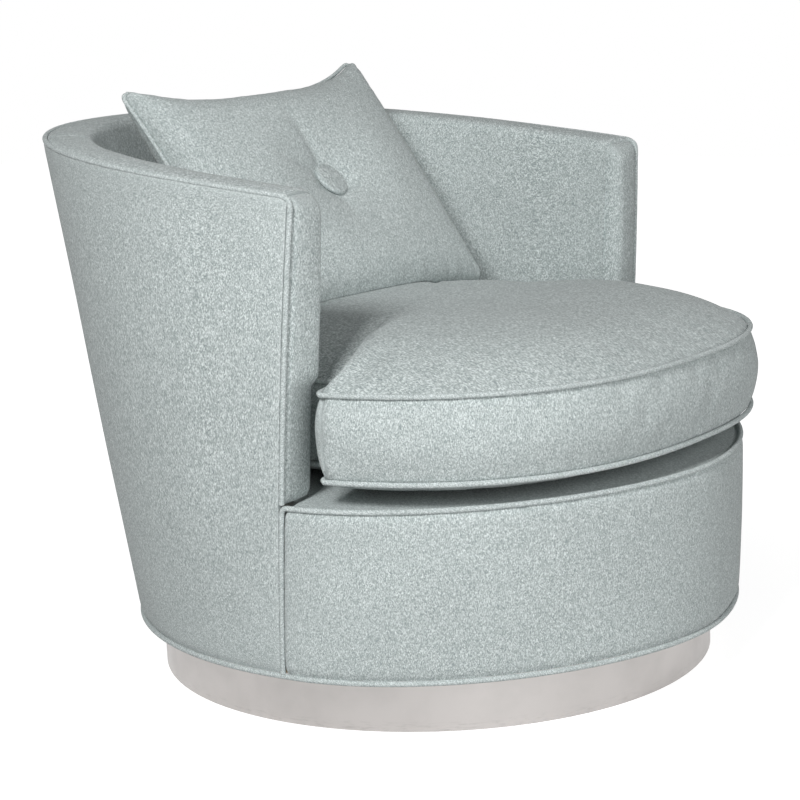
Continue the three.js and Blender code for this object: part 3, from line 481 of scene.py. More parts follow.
@dataclass(frozen=True)
class WovenCloth:
    """Heathered plain weave: each yarn changes tone along its length."""

    name: str
    dark: Triple = (0.185, 0.224, 0.226)
    middle: Triple = (0.420, 0.472, 0.468)
    pale: Triple = (0.765, 0.820, 0.812)
    yarn: float = 0.00064
    slub: float = 0.0017
    turn: float = 0.0
    bump: float = 0.30
    fuzz: float = 0.25

    def material(self) -> bpy.types.Material:
        """Builds the cloth over the piece's own weave map.

        Returns:
            The node material.
        """
        r = Recipe(self.name)
        weave = r.add("UVMap", uv_map="weave").outputs[0]
        flat = r.stretched(weave, (1, 1, 1), self.turn)
        split = r.add("SeparateXYZ", flat).outputs
        warp = self.yarns(r, split[0], split[1], 0.37)
        weft = self.yarns(r, split[1], split[0], 0.61)
        rounds = math.pi / self.yarn
        over = r.maths("SINE", r.times(split[0], rounds))
        under = r.maths("SINE", r.times(split[1], rounds))
        crossing = r.times(over, under)
        share = r.range(crossing, -0.6, 0.6, 0.08, 0.42)
        tone = r.add("Mix", share, data_type="FLOAT")
        r.put(tone.inputs[2], warp)
        r.put(tone.inputs[3], weft)
        soft = r.noise(r.stretched(flat, (1 / 0.0022, 1 / 0.0048, 1)), 1.0, 2.0, 0.6)
        mixed = r.plus(r.times(tone.outputs[0], 0.8), r.times(soft, 0.4))
        heather = r.ramp(mixed, [(0.10, self.dark), (0.60, self.middle), (1.0, self.pale)])
        cloud = r.range(r.noise(weave, 7.0, 3.0, 0.55), 0.3, 0.7, 0.965, 1.035)
        toned = r.blend(1.0, heather, r.add("CombineColor", cloud, cloud, cloud).outputs[0], "MULTIPLY")
        # painted highlight: convex edges, piping and crowns are blended towards the pale yarn colour
        convex_highlight = r.range(r.add("NewGeometry").outputs["Pointiness"], 0.505, 0.56, 0.0, 0.16)
        toned = r.blend(convex_highlight, toned, (*self.pale, 1))
        pile = r.noise(flat, 1 / 0.0006, 2.0, 0.6)
        height = r.plus(r.times(crossing, 0.5), r.times(pile, self.fuzz * 4))
        height = r.plus(height, r.times(mixed, 0.8))
        rough = r.range(pile, 0.3, 0.7, 0.82, 0.97)
        return r.finish(
            toned, rough, r.bump(height, self.bump, 0.0003),
            Specular_IOR_Level=0.25, Sheen_Weight=0.14, Sheen_Roughness=0.6,
        )

    def yarns(self, r: Recipe, across: object, along: object, shift: float) -> bpy.types.NodeSocket:
        """Tone of each yarn, which changes at every slub along it.

        Args:
            r: The recipe.
            across: Place across the yarns.
            along: Place along the yarns.
            shift: How far the slubs step from one yarn to the next.

        Returns:
            An even random value for each length of yarn.
        """
        number = r.maths("FLOOR", r.maths("DIVIDE", across, self.yarn))
        step = r.plus(r.maths("DIVIDE", along, self.slub), r.times(number, shift))
        spot = r.add("CombineXYZ", number, r.maths("FLOOR", step), shift * 10).outputs[0]
        return r.add("TexWhiteNoise", spot, noise_dimensions="3D").outputs[0]


@dataclass(frozen=True)
class GrainedMetal:
    """Steel with a fine grain that runs round the swivel axis."""

    name: str
    colour: Triple
    roughness: float
    grain: float = 0.06
    around: bool = True
    bump: float = 0.12
    tarnish: Triple = (0.30, 0.29, 0.28)
    dark_foot_height: float = 0.0

    def material(self) -> bpy.types.Material:
        """Builds the metal over Object coordinates.

        Returns:
            The node material.
        """
        r = Recipe(self.name)
        here = r.add("TexCoord").outputs["Object"]
        centred = r.add("VectorMath", here, (0, -AXIS_Y, 0), operation="ADD").outputs[0]
        split = r.add("SeparateXYZ", centred).outputs
        if self.around:
            turn = r.maths("ARCTAN2", split[1], split[0])
            ring = r.add("CombineXYZ", r.maths("SINE", turn), r.maths("COSINE", turn), split[2]).outputs[0]
            lines = r.noise(r.stretched(ring, (6, 6, 4200)), 1.0, 3.0, 0.6)
        else:
            lines = r.noise(here, 900.0, 3.0, 0.6)
        patches = r.noise(here, 14.0, 4.0, 0.6)
        colour = r.blend(r.range(patches, 0.42, 0.75, 0.0, 0.22), (*self.colour, 1), (*self.tarnish, 1))
        # darker in patches towards the band's foot, blended towards the tarnish colour below this height
        if self.dark_foot_height:
            low = r.range(split[2], self.dark_foot_height, self.dark_foot_height * 2.6, 1.0, 0.0)
            foot_patches = r.range(r.noise(r.stretched(here, (60, 60, 500)), 1.0, 3.0, 0.7), 0.52, 0.7, 0.0, 0.5)
            colour = r.blend(r.times(low, foot_patches), colour, (*self.tarnish, 1))
        wander = r.times(r.maths("SUBTRACT", lines, 0.5), 2 * self.grain)
        rough = r.plus(r.plus(wander, self.roughness), r.range(patches, 0.3, 0.7, -0.03, 0.05))
        return r.finish(colour, rough, r.bump(lines, self.bump, 0.0002), Metallic=1.0)


@dataclass(frozen=True)
class Timber:
    """Sawn timber or plywood, grained along one axis, with plies where it has them."""

    name: str
    early: Triple
    late: Triple
    ply: float = 0.0
    roughness: float = 0.7

    def material(self) -> bpy.types.Material:
        """Builds the timber over Object coordinates.

        Returns:
            The node material.
        """
        r = Recipe(self.name)
        here = r.add("TexCoord").outputs["Object"]
        bent = r.add("VectorMath", here, r.stretched(here, (0.2, 0.2, 0.2)), operation="ADD").outputs[0]
        rings = r.noise(r.stretched(bent, (9, 90, 60)), 1.0, 4.0, 0.65)
        pores = r.noise(r.stretched(here, (40, 1500, 1500)), 1.0, 2.0, 0.6)
        colour = r.ramp(rings, [(0.32, self.late), (0.5, self.early), (0.68, self.late)])
        colour = r.blend(r.range(pores, 0.55, 0.75, 0.0, 0.4), colour, (*[c * 0.55 for c in self.late], 1))
        height = r.plus(rings, pores)
        if self.ply:
            z = r.add("SeparateXYZ", here).outputs[2]
            layer = r.maths("PINGPONG", z, self.ply)
            edge = r.range(layer, self.ply * 0.35, self.ply * 0.65, 0.0, 0.35)
            facing = r.add("SeparateXYZ", r.add("NewGeometry").outputs["Normal"]).outputs[2]
            upright = r.maths("ABSOLUTE", facing)
            edge = r.times(edge, r.range(upright, 0.3, 0.7, 1.0, 0.0))
            colour = r.blend(edge, colour, (*[c * 0.6 for c in self.late], 1))
        rough = r.range(pores, 0.3, 0.7, self.roughness - 0.08, self.roughness + 0.1)
        return r.finish(colour, rough, r.bump(height, 0.25, 0.0005))


@dataclass(frozen=True)
class Moulded:
    """Plain moulded or felted stuff with a fine surface: nylon, non-woven cloth, twine."""

    name: str
    colour: Triple
    other: Triple
    scale: float
    roughness: float
    bump: float

    def material(self) -> bpy.types.Material:
        """Builds the stuff over Object coordinates.

        Returns:
            The node material.
        """
        r = Recipe(self.name)
        here = r.add("TexCoord").outputs["Object"]
        fine = r.noise(here, self.scale, 4.0, 0.65)
        broad = r.noise(here, self.scale / 25, 3.0, 0.5)
        colour = r.blend(r.range(fine, 0.35, 0.65, 0.0, 1.0), (*self.colour, 1), (*self.other, 1))
        dust = r.range(broad, 0.5, 0.8, 0.0, 0.2)
        colour = r.blend(dust, colour, (*[c * 1.8 + 0.01 for c in self.other], 1))
        rough = r.range(fine, 0.3, 0.7, self.roughness - 0.08, self.roughness + 0.06)
        return r.finish(colour, rough, r.bump(fine, self.bump, 0.0005))


class Finish(Enum):
    """The chair's finishes, each with its recipe and the record's slot."""

    CLOTH = ("upholstery_cloth", WovenCloth("heathered_cloth"))
    WELT = ("welt_cloth", WovenCloth("bias_cut_cloth", turn=math.radians(45), slub=0.0015))
    STEEL = ("plinth_steel", GrainedMetal("satin_steel", (0.48, 0.458, 0.445), 0.40, dark_foot_height=0.006))
    ZINC = ("zinc_steel", GrainedMetal("dull_zinc", (0.36, 0.37, 0.38), 0.45, around=False))
    SPRING = ("spring_steel", GrainedMetal("oiled_spring_wire", (0.12, 0.125, 0.13), 0.4, around=False))
    PLYWOOD = ("plywood", Timber("birch_plywood", (0.62, 0.46, 0.27), (0.50, 0.35, 0.19), ply=0.0015))
    HARDWOOD = ("hardwood", Timber("planed_hardwood", (0.47, 0.29, 0.14), (0.34, 0.19, 0.085)))
    DUST = (
        "dust_cloth", Moulded("black_dust_cloth", (0.018, 0.018, 0.019), (0.04, 0.04, 0.042), 900, 0.92, 0.5),
    )
    NYLON = ("nylon", Moulded("natural_nylon", (0.62, 0.60, 0.56), (0.55, 0.53, 0.49), 1400, 0.5, 0.15))
    TWINE = ("twine", Moulded("waxed_hemp", (0.65, 0.59, 0.45), (0.42, 0.36, 0.25), 1200, 0.8, 0.6))

    def dress(self, piece: bpy.types.Object) -> None:
        """Puts the finish on every material slot of a piece."""
        name = self.value[1].name
        made = bpy.data.materials.get(name) or self.value[1].material()
        if not piece.material_slots:
            piece.data.materials.append(made)
        for slot in piece.material_slots:
            slot.material = made


def mount(
    piece: bpy.types.Object, body: str, finish: Finish, nodes: tuple[str, ...]
) -> None:
    """Dresses a new piece and ties it to its CAD body.

    Args:
        piece: The finished object.
        body: The CAD body that it moves with.
        finish: Its finish.
        nodes: The CAD nodes that it stands for.
    """
    finish.dress(piece)
    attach(piece, body)
    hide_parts(*nodes)
    LOG.info("%s rides on %s, %d faces", piece.name, body, len(piece.data.polygons))


class Ground:
    """The top of a finished piece, for what rests on it."""

    def __init__(self, piece: bpy.types.Object) -> None:
        """Notes the piece's faces."""
        mesh = bmesh.new()
        mesh.from_mesh(piece.data)
        self.tree = BVHTree.FromBMesh(mesh)
        mesh.free()

    def above(self, spot: Vector, gap: float, reach: float = 0.05) -> Vector:
        """The spot, lifted clear of the ground where it would sink in.

        Args:
            spot: A point.
            gap: Least height over the ground.
            reach: How deep a spot may lie and still be lifted.

        Returns:
            The point or the one above it.
        """
        hit, _, _, _ = self.tree.ray_cast(spot + UP * reach, DOWN, reach + gap)
        return Vector((spot.x, spot.y, hit.z + gap)) if hit else spot


@dataclass(frozen=True)
class Stuffing:
    """How a sewn piece fills out when its filling presses on the cloth."""

    pressure: float
    slack: float
    most: float
    frames: int = 20
    quality: int = 5
    mass: float = 0.25
    stiffness: float = 12.0
    bending: float = 0.6

    def settle(self, piece: bpy.types.Object, held: dict[int, float]) -> None:
        """Runs the cloth for a moment and keeps the creases that it makes.

        Args:
            piece: The sewn piece; its seams and buttons are held.
            held: Weight of each held corner by its index.
        """
        group = piece.vertex_groups.new(name="held")
        for index, weight in held.items():
            group.add([index], weight, "REPLACE")
        cloth = piece.modifiers.new("filling", "CLOTH")
        rules = cloth.settings
        rules.quality, rules.mass = self.quality, self.mass
        rules.tension_stiffness = rules.compression_stiffness = self.stiffness
        rules.shear_stiffness = self.stiffness / 3
        rules.bending_stiffness = self.bending
        rules.use_pressure = True
        rules.uniform_pressure_force = self.pressure
        rules.effector_weights.gravity = 0
        rules.vertex_group_mass = "held"
        rules.shrink_min = -self.slack
        cloth.collision_settings.use_collision = False
        for number in range(1, self.frames + 1):
            bpy.context.scene.frame_set(number)
        graph = bpy.context.evaluated_depsgraph_get()
        after = [v.co.copy() for v in piece.evaluated_get(graph).data.vertices]
        piece.modifiers.remove(cloth)
        bpy.context.scene.frame_set(1)
        furthest = 0.0
        for v, spot in zip(piece.data.vertices, after):
            move = spot - v.co
            furthest = max(furthest, move.length)
            v.co += move * min(1.0, self.most / max(move.length, 1e-9))
        piece.vertex_groups.remove(group)
        finer = piece.modifiers.new("finer", "SUBSURF")
        finer.levels = 1
        graph.update()
        piece.data = bpy.data.meshes.new_from_object(piece.evaluated_get(graph))
        piece.modifiers.remove(finer)
        LOG.info("%s settled by up to %.1f mm", piece.name, furthest * 1000)


# ---------------------------------------------------------------- the tub's form


@dataclass(frozen=True)
class Plan:
    """A superellipse about the swivel axis, angle 0 towards the front."""

    half_width: float
    half_depth: float
    centre_y: float
    power: float

    def point(self, angle: float) -> Vector:
        """The plan's point at an angle, as a flat vector."""
        s, c = math.sin(angle), math.cos(angle)
        e = 2 / self.power
        return Vector((
            self.half_width * math.copysign(abs(s) ** e, s),
            self.centre_y - self.half_depth * math.copysign(abs(c) ** e, c),
        ))

    def inward(self, angle: float) -> Vector:
        """The direction into the plan at an angle."""
        p = self.point(angle)
        x, y = p.x / self.half_width, (p.y - self.centre_y) / self.half_depth
        return Vector((
            -math.copysign(abs(x) ** (self.power - 1), x) / self.half_width,
            -math.copysign(abs(y) ** (self.power - 1), y) / self.half_depth,
        )).normalized()


@dataclass(frozen=True)
class TubForm:
    """The body's sizes, the same as the CAD's, in metres."""

    bottom: float = 0.0767
    deck_edge: float = 0.2766
    low: Plan = Plan(0.399, 0.411, -0.018, 2.0)
    low_span: float = math.radians(95.6)
    high: Plan = Plan(0.401, 0.445, 0.034, 2.46)
    high_span: float = math.radians(103.5)
    arm_tip: float = 0.6386
    rail_rise: float = 0.11
    arm_corner: float = 0.017
    arm_swell: float = 0.010
    top_thickness: float = 0.062
    arm_thickness: float = 0.070
    back_thickness: float = 0.112
    half_length: float = 0.67637
    panel_bottom: float = 0.406
    panel_top: float = 0.411
    panel_power: float = 1.8
    half_panel: float = 0.56
    welt: float = 0.0033
    clear: float = 0.0002

    @property
    def welt_inset(self) -> float:
        """How far the piping's centre lies inside the outline."""
        return 0.85 * self.welt

    @property
    def behind_welt(self) -> float:
        """Inset at which the next cloth starts behind the piping."""
        return self.welt_inset + self.welt + self.clear

    def back(self, length: float) -> float:
        """The place along the wall that lies a length back from an arm's tip."""
        return 1 - length / self.half_length

    def rail_line(self, u: float) -> float:
        """Height of the arms and back, without the arm's rounded corner."""
        tip = self.high.point(math.pi - self.high_span).y
        return self.arm_tip + self.rail_rise * (self.high.point(math.pi - u * self.high_span).y - tip)

    def rail(self, u: float) -> float:
        """Height of the arms and back."""
        reach = max(self.arm_corner - (1 - abs(u)) * self.half_length, 0)
        drop = math.sqrt(max(self.arm_corner**2 - min(reach, self.arm_corner) ** 2, 0))
        return self.rail_line(u) - self.arm_corner + drop

    def wall(self, u: float, z: float, inset: float = 0.0) -> Vector:
        """A point on the wall.

        Args:
            u: Place along the wall, -1 at the left arm's tip, 0 at the back, 1 at the right.
            z: Height.
            inset: Distance inside the outer face.

        Returns:
            The point in the chair's frame.
        """
        a, b = math.pi - u * self.low_span, math.pi - u * self.high_span
        share = (z - self.bottom) / (self.rail_line(u) - self.bottom)
        inward = (self.low.inward(a) + self.high.inward(b)).normalized()
        swell = self.arm_swell * u**4 * 4 * share * (1 - share)
        p = self.low.point(a).lerp(self.high.point(b), share) + inward * (inset - swell)
        return Vector((p.x, p.y + AXIS_Y, z))

    def thickness(self, u: float, z: float) -> float:
        """Wall thickness from the outer face to the inner."""
        seat = mix(self.back_thickness, self.arm_thickness, u * u)
        share = clamp((self.rail_line(u) - z) / (self.rail_line(u) - self.deck_edge))
        return mix(self.top_thickness, seat, share)

    def panel(self, v: float, z: float, inset: float = 0.0) -> Vector:
        """A point on the front panel, v from -1 at the left corner to 1 at the right.

        Args:
            v: Place across the panel.
            z: Height.
            inset: Distance inside the outer face.

        Returns:
            The point in the chair's frame.
        """
        corner = self.wall(1, z)
        corner_y = corner.y - AXIS_Y
        share = (z - self.bottom) / (self.deck_edge - self.bottom)
        front = mix(self.panel_bottom, self.panel_top, share)
        plan = Plan(corner.x, front + corner_y, corner_y, self.panel_power)
        angle = v * math.pi / 2
        p = plan.point(angle) + plan.inward(angle) * inset
        return Vector((p.x, p.y + AXIS_Y, z))


# ---------------------------------------------------------------- tub upholstery


@dataclass
class TubUpholstery:
    """Cloth, pads and piping of the turning tub."""

    form: TubForm = field(default_factory=TubForm)
    cover_thickness: float = 0.006
    panel_pad: float = 0.012
    front_pad: float = 0.010
    band_pad: float = 0.010
    top_pad: float = 0.020
    seat_pad: float = 0.030
    pad_foot: float = 0.262
    round_over: float = 0.012
    roll_in: float = 0.004
    roll_down: float = 0.0045
    band_crown: float = 0.0022
    pad_plump: float = 0.0035
    plump_from: float = 0.44
    deck_foot: float = 0.254
    deck_top: float = 0.2795
    deck_crown: float = 0.0035
    seam_at: float = 0.42
    arm_wrap: float = 0.015
    arm_tuck: float = 0.0042
    lean_low: float = 0.0125
    lean_high: float = 0.0075
    lean_starts: tuple[float, float] = (0.410, 0.427)
    lean_changes: tuple[float, float] = (0.50, 0.63)
    swivel_hole: float = 0.160

    def tuck(self, distance: float, depth: float = 0.0036) -> float:
        """How far cloth rolls in where it is sewn to piping, a distance from the seam."""
        return depth * math.exp(-((distance / 0.0050) ** 1.5))

    def gathers(self, along: float, distance: float, seed: float) -> float:
        """Tiny puckers beside a seam, in metres.

        Args:
            along: Length along the seam.
            distance: Distance from the seam.
            seed: Keeps two seams from matching.

        Returns:
            How far the cloth stands out or in.
        """
        wave = ripple(along * 62, seed, distance * 18)
        return 0.0007 * wave * math.exp(-distance / 0.016)

    def outside_cover(self) -> bpy.types.Object:
        """The cloth and wadding on the outside of the arms and back.

        Returns:
            The finished piece.
        """
        f = self.form
        end = f.back(1.8 * f.welt)

        def edge(u: float) -> float:
            return f.rail(u) - f.welt_inset - 0.75 * f.welt

        def outer(a: float, b: float) -> Vector:
            u = mix(-end, end, a)
            top = edge(u)
            z = mix(f.bottom, top, mix(b, eased(b), 0.75))
            rim = min(z - f.bottom, top - z)
            side = (1 - abs(u)) * f.half_length
            inset = self.tuck(z - f.bottom) + self.tuck(top - z, 0.0005) + self.tuck(side, 0.0005)
            inset -= self.gathers(u * f.half_length, rim, 3.0) + self.gathers(z, side, 7.0)
            inset -= 0.0011 * ripple(u * 2.6, z * 5.2, 1.7)
            return f.wall(u, z, inset)

        def inner(a: float, b: float) -> Vector:
            u = mix(-end, end, a)
            return f.wall(u, mix(f.bottom, edge(u), b), self.cover_thickness)

        def weave(a: float, b: float) -> tuple[float, float]:
            return mix(-f.half_length, f.half_length, a), mix(f.bottom, 0.65, b)

        return lined("outside_cover_cloth", 260, 64, outer, inner, weave)

    def pad_profile(self, u: float) -> list[tuple[float, float]]:
        """The inside pad's section, from the outer piping over the top and down.

        Args:
            u: Place along the wall.

        Returns:
            (inset, height) pairs.
        """
        f, r = self.form, self.round_over
        top = f.rail(u)
        start = f.behind_welt
        inner = f.thickness(u, top)
        section = []
        for t in (0.0, 0.3, 0.6, 0.85, 1.0):
            turn = t * math.pi / 2
            z = top - self.roll_down + self.roll_down * math.sin(turn)
            section.append((start + self.roll_in * (1 - math.cos(turn)), z))
        for i in range(1, 14):
            share = i / 14
            inset = mix(start + self.roll_in, inner - r, share)
            section.append((inset, top + self.band_crown * math.sin(math.pi * share) ** 0.8))
        for i in range(10):
            turn = math.pi / 2 * i / 9
            z = top - r * (1 - math.cos(turn))
            section.append((f.thickness(u, z) - r + r * math.sin(turn), z))
        low = self.plump_from
        for i in range(1, 47):
            z = mix(top - r, self.pad_foot, i / 46)
            plump = self.pad_plump * math.sin(math.pi * clamp((z - low) / (top - r - low))) if z > low else 0.0
            section.append((f.thickness(u, z) + plump, z))
        return section

    def columns(self, end: float) -> list[float]:
        """Places along the wall for the inside pad: closer beside its ends and its two seams.

        Args:
            end: Where the pad ends, as a place along the wall.

        Returns:
            The places from left to right.
        """
        f = self.form
        close_by = (0.0, 0.0006, 0.0012, 0.0019, 0.0028, 0.004, 0.006, 0.009)
        made = {
            round(mark + way * off / f.half_length, 6)
            for mark in (-end, -self.seam_at, self.seam_at, end) for off in close_by for way in (-1, 1)
        }
        for i in range(241):
            u = mix(-end, end, i / 240)
            if min(abs(u - other) for other in made) > 0.0022:
                made.add(u)
        return sorted(u for u in made if abs(u) <= end + 1e-9)

    def inside_pad(self) -> bpy.types.Object:
        """Foam and cloth of the inner face and the band over the rail, with its two sewn seams.

        Returns:
            The finished piece.
        """
        f = self.form
        end = f.back(self.front_pad + f.clear)
        places = self.columns(end)
        wide = len(places) - 1
        sections = [self.pad_profile(u) for u in places]
        tall = len(sections[0]) - 1

        def outer(a: float, b: float) -> Vector:
            i, edge = round(a * wide), round(b * tall)
            u = places[i]
            inset, z = sections[i][edge]
            along = u * f.half_length
            near = abs(abs(u) - end) * f.half_length
            settled = smooth(0, 0.03, near)
            off = (abs(u) - self.seam_at) * f.half_length
            turn = math.pi / 2 * clamp((edge - 18) / 9)
            groove = 0.0011 * bell(off, 0.0011) + 0.0014 * bell(off, 0.011)
            groove = groove * smooth(0, 3, edge) + 0.0010 * bell(near, 0.003) * math.cos(turn)
            if edge > 0:
                inset += 0.0016 * ripple(u * 4.2, z * 6.5, 4.4) * smooth(18, 34, edge) * settled
                z += 0.0007 * ripple(along * 16, inset * 30, 2.2) * (1 - smooth(18, 30, edge)) * settled
            slant = 0.026 * (1 - 2 * clamp(edge / 19)) * bell(off, 0.05)
            spot = u + math.copysign(slant, u)
            return f.wall(spot, z - groove * math.cos(turn), inset - groove * math.sin(turn))

        def back(a: float, b: float) -> Vector:
            u = places[round(a * wide)]
            top = f.rail(u)
            start = f.behind_welt
            under = top - self.band_pad
            z = mix(self.pad_foot, under, min(b * 1.5, 1))
            share = clamp((f.rail_line(u) - z) / (f.rail_line(u) - f.deck_edge))
            inset = f.thickness(u, z) - mix(self.top_pad, self.seat_pad, share)
            if b > 2 / 3:
                inset = mix(inset, start, (b - 2 / 3) * 3)
            return f.wall(u, z, inset)

        lengths = [0.0]
        middle = sections[wide // 2]
        for p, q in zip(middle, middle[1:]):
            lengths.append(lengths[-1] + math.dist(p, q))

        def weave(a: float, b: float) -> tuple[float, float]:
            return places[round(a * wide)] * 0.56, -lengths[round(b * tall)]

        def plain(a: float, b: float) -> tuple[float, float]:
            return a, b * 0.3

        return sew("inside_pad_cloth", [
            Patch(wide, tall, outer, weave),
            Patch(wide, 9, back, plain),
            Patch(wide, 2, strip(back, 1, outer, 0), plain),
            Patch(wide, 2, strip(outer, 1, back, 0), plain),
        ])

    def arm_front(self, side: Side) -> bpy.types.Object:
        """The padded front of one arm: a flat face that rolls back over the top and to the inside.

        Args:
            side: Which arm.

        Returns:
            The finished piece.
        """
        f = self.form
        foot = self.deck_top + f.clear + f.welt
        flat_top = f.rail_line(1) - f.arm_corner
        start = f.behind_welt + f.clear
        lift = math.acos(1 - (self.front_pad + f.clear) / f.arm_corner)
        wrap = self.arm_wrap
        flat_x, flat_z, roll, beyond = 18, 60, 12, 3
        wide, tall = 1 + flat_x + roll + beyond, flat_z + roll + beyond

        def place(a: float, b: float) -> Vector:
            i, j = round(a * wide) - 1, round(b * tall)
            px, pz = clamp((i - flat_x) / roll), clamp((j - flat_z) / roll)
            run = max(i - flat_x - roll, j - flat_z - roll, 0) / beyond
            share = max(px, pz)
            turn = 0.0
            if share > 0:
                turn = math.pi / 4 * pz / px if px >= pz else math.pi / 2 - math.pi / 4 * px / pz
            over = math.sin(turn) ** 2
            z = mix(foot, flat_top, clamp(j / flat_z)) + f.arm_corner * math.sin(share * lift) * math.sin(turn)
            inner = f.thickness(1, z) - wrap
            x = mix(start, inner, clamp(i / flat_x) ** 1.25)
            x += wrap * math.sin(share * math.pi / 2) * math.cos(turn)
            depth = mix(
                self.front_pad * (1 - math.cos(share * math.pi / 2)),
                f.arm_corner * (1 - math.cos(share * lift)), over,
            )
            tuck = self.arm_tuck * math.exp(-(((x - start) / 0.003) ** 1.3)) if i >= 0 else 0.009
            depth += tuck * math.cos(share * lift * over) + self.tuck(z - foot)
            z -= tuck * math.sin(share * lift * over) * (i >= 0)
            middle = clamp((x - start) / (inner + wrap - start))
            plump = 0.0022 * math.sin(math.pi * middle) + 0.0006 * ripple(z * 11, side.value * 3.0, x * 20)
            depth -= plump * (1 - share)
            z -= 0.0011 * bell((1 - share) * 0.010, 0.0020) * over
            lean = mix(self.lean_low, self.lean_high, smooth(*self.lean_changes, z))
            lean *= smooth(*self.lean_starts, z)
            depth -= lean * middle * (1 - smooth(flat_top - 0.01, flat_top + 0.012, z)) * (1 - share**2)
            x -= 0.0012 * run * math.cos(turn)
            z -= 0.0012 * run * math.sin(turn)
            return f.wall(side.value * f.back(depth + 0.004 * run), z, x)

        def weave(a: float, b: float) -> tuple[float, float]:
            return a * 0.078, foot + b * (f.rail_line(1) - foot + 0.012)

        name = "arm_front_pad_left" if side is Side.LEFT else "arm_front_pad_right"
        return sew(name, [Patch(wide, tall, place, weave)])

    def front_panel(self) -> bpy.types.Object:
        """The padded panel below the seat, proud in the middle and rolled in at its piping.

        Returns:
            The finished piece.
        """
        f = self.form
        end = 1 - 2 * f.clear / f.half_length
        top = f.deck_edge - 2 * f.clear

        def outer(a: float, b: float) -> Vector:
            v = mix(-end, end, a)
            t = eased(b)
            z = mix(f.bottom, top, t)
            rim = min(z - f.bottom, top - z)
            side = (1 - abs(v)) * f.half_panel
            inset = self.tuck(rim) + self.tuck(side)
            inset -= self.gathers(v * 0.55, rim, 11.0) + self.gathers(z, side, 13.0)
            inset -= 0.0013 * math.sin(math.pi * t) ** 0.6 + 0.0009 * ripple(v * 3.1, z * 6, 9.1)
            return f.panel(v, z, inset)

        def inner(a: float, b: float) -> Vector:
            v = mix(-end, end, a)
            return f.panel(v, mix(f.bottom, top, b), self.panel_pad)

        def weave(a: float, b: float) -> tuple[float, float]:
            return mix(-f.half_panel, f.half_panel, a), mix(f.bottom, top, eased(b))

        return lined("front_panel_cloth", 220, 46, outer, inner, weave)

    def body_outline(self, z: float, wall_in: float, panel_in: float, short: float) -> Line:
        """The whole body's outline at one height.

        Args:
            z: Height.
            wall_in: Inset along the wall.
            panel_in: Inset along the front panel.
            short: How far the wall stops before the corner.

        Returns:
            The closed line, from the panel's left corner.
        """
        f = self.form
        end = f.back(short)
        panel = [f.panel(mix(-1, 1, i / 80), z, panel_in) for i in range(81)]
        wall = [f.wall(mix(end, -end, i / 150), z, wall_in) for i in range(151)]
        return Line([*panel, *wall], ring=True)

    def deck(self) -> bpy.types.Object:
        """The padded deck under the loose cushion, with its soft lip.

        Returns:
            The finished piece.
        """
        f = self.form
        panel_in = f.behind_welt + f.clear
        front = f.back(2 * f.welt)
        rear = f.back(f.welt)
        level = f.deck_edge
        points = [f.panel(mix(-front, front, i / 110), level, panel_in) for i in range(111)]
        for i in range(161):
            u = mix(rear, -rear, i / 160)
            points.append(f.wall(u, level, f.thickness(u, level) + 0.0008))
        ring = Line(points, ring=True).rounded(1).spaced(360)
        centre = Vector((0, AXIS_Y + f.low.centre_y, 0))
        rounds = 0.008

        def profile(b: float) -> tuple[float, float]:
            """(share of the outline, height) from the middle underneath to the middle on top."""
            if b < 0.25:
                return b * 4 * 0.985, self.deck_foot + 0.005 * (1 - b * 4)
            if b < 0.45:
                return 1.0, mix(self.deck_foot, self.deck_top - rounds, (b - 0.25) / 0.2)
            if b < 0.6:
                turn = math.pi / 2 * (b - 0.45) / 0.15
                return 1 - 0.02 * (1 - math.cos(turn)), self.deck_top - rounds * (1 - math.sin(turn))
            t = (b - 0.6) / 0.4
            share = 0.98 * (1 - t)
            return share, self.deck_top + self.deck_crown * smooth(0, 0.5, t)

        def place(a: float, b: float) -> Vector:
            p = ring.at(a)
            share, z = profile(b)
            q = centre.lerp(Vector((p.x, p.y, 0)), share)
            if share > 0.02 and b > 0.45:
                z += 0.0006 * ripple(q.x * 22, q.y * 22, 1.0) * smooth(0, 0.3, share)
            return Vector((q.x, q.y, z))

        def weave(a: float, b: float) -> tuple[float, float]:
            p = place(a, b)
            if 0.25 <= b <= 0.5:
                return a * 2.4, p.z
            return p.x, p.y

        return sew("deck_cloth", [Patch(360, 60, place, weave)])

    def bottom_piping(self) -> bpy.types.Object:
        """The piping round the body's foot."""
        f = self.form
        line = self.body_outline(f.bottom, f.welt_inset, f.welt_inset, 2 * f.welt)
        z = f.bottom - f.clear - f.welt
        line = line.rounded(1).spaced(620)
        line.points = [Vector((p.x, p.y, z)) for p in line.points]
        return Piping(f.welt).run("bottom_piping", line, UP)

    def uprights(self, edge: float, foot: float, top: float, steps: int) -> tuple[list[Vector], list[Vector]]:
        """The piping's run up the left corner and down the right.

        Args:
            edge: Place of the right corner along the wall.
            foot: Lowest height.
            top: Highest height.
            steps: Steps between the two.

        Returns:
            The left run and the right one.
        """
        f = self.form
        rise = [mix(foot, top, i / steps) for i in range(steps + 1)]
        left = [f.wall(-edge, z, f.welt_inset) for z in rise]
        return left, [f.wall(edge, z, f.welt_inset) for z in reversed(rise)]

    def panel_piping(self) -> bpy.types.Object:
        """The piping up both sides of the front panel and across its top."""
        f = self.form
        edge = f.back(f.welt)
        top = f.deck_edge + f.welt
        left, right = self.uprights(edge, f.bottom + f.clear, top - f.welt, 12)
        across = []
        for i in range(121):
            p = f.panel(mix(-edge, edge, i / 120), f.deck_edge, f.welt_inset)
            across.append(Vector((p.x, p.y, top)))
        line = Line([*left, *across, *right], ring=False).rounded(2).spaced(520)
        return Piping(f.welt).run("panel_piping", line, ACROSS)

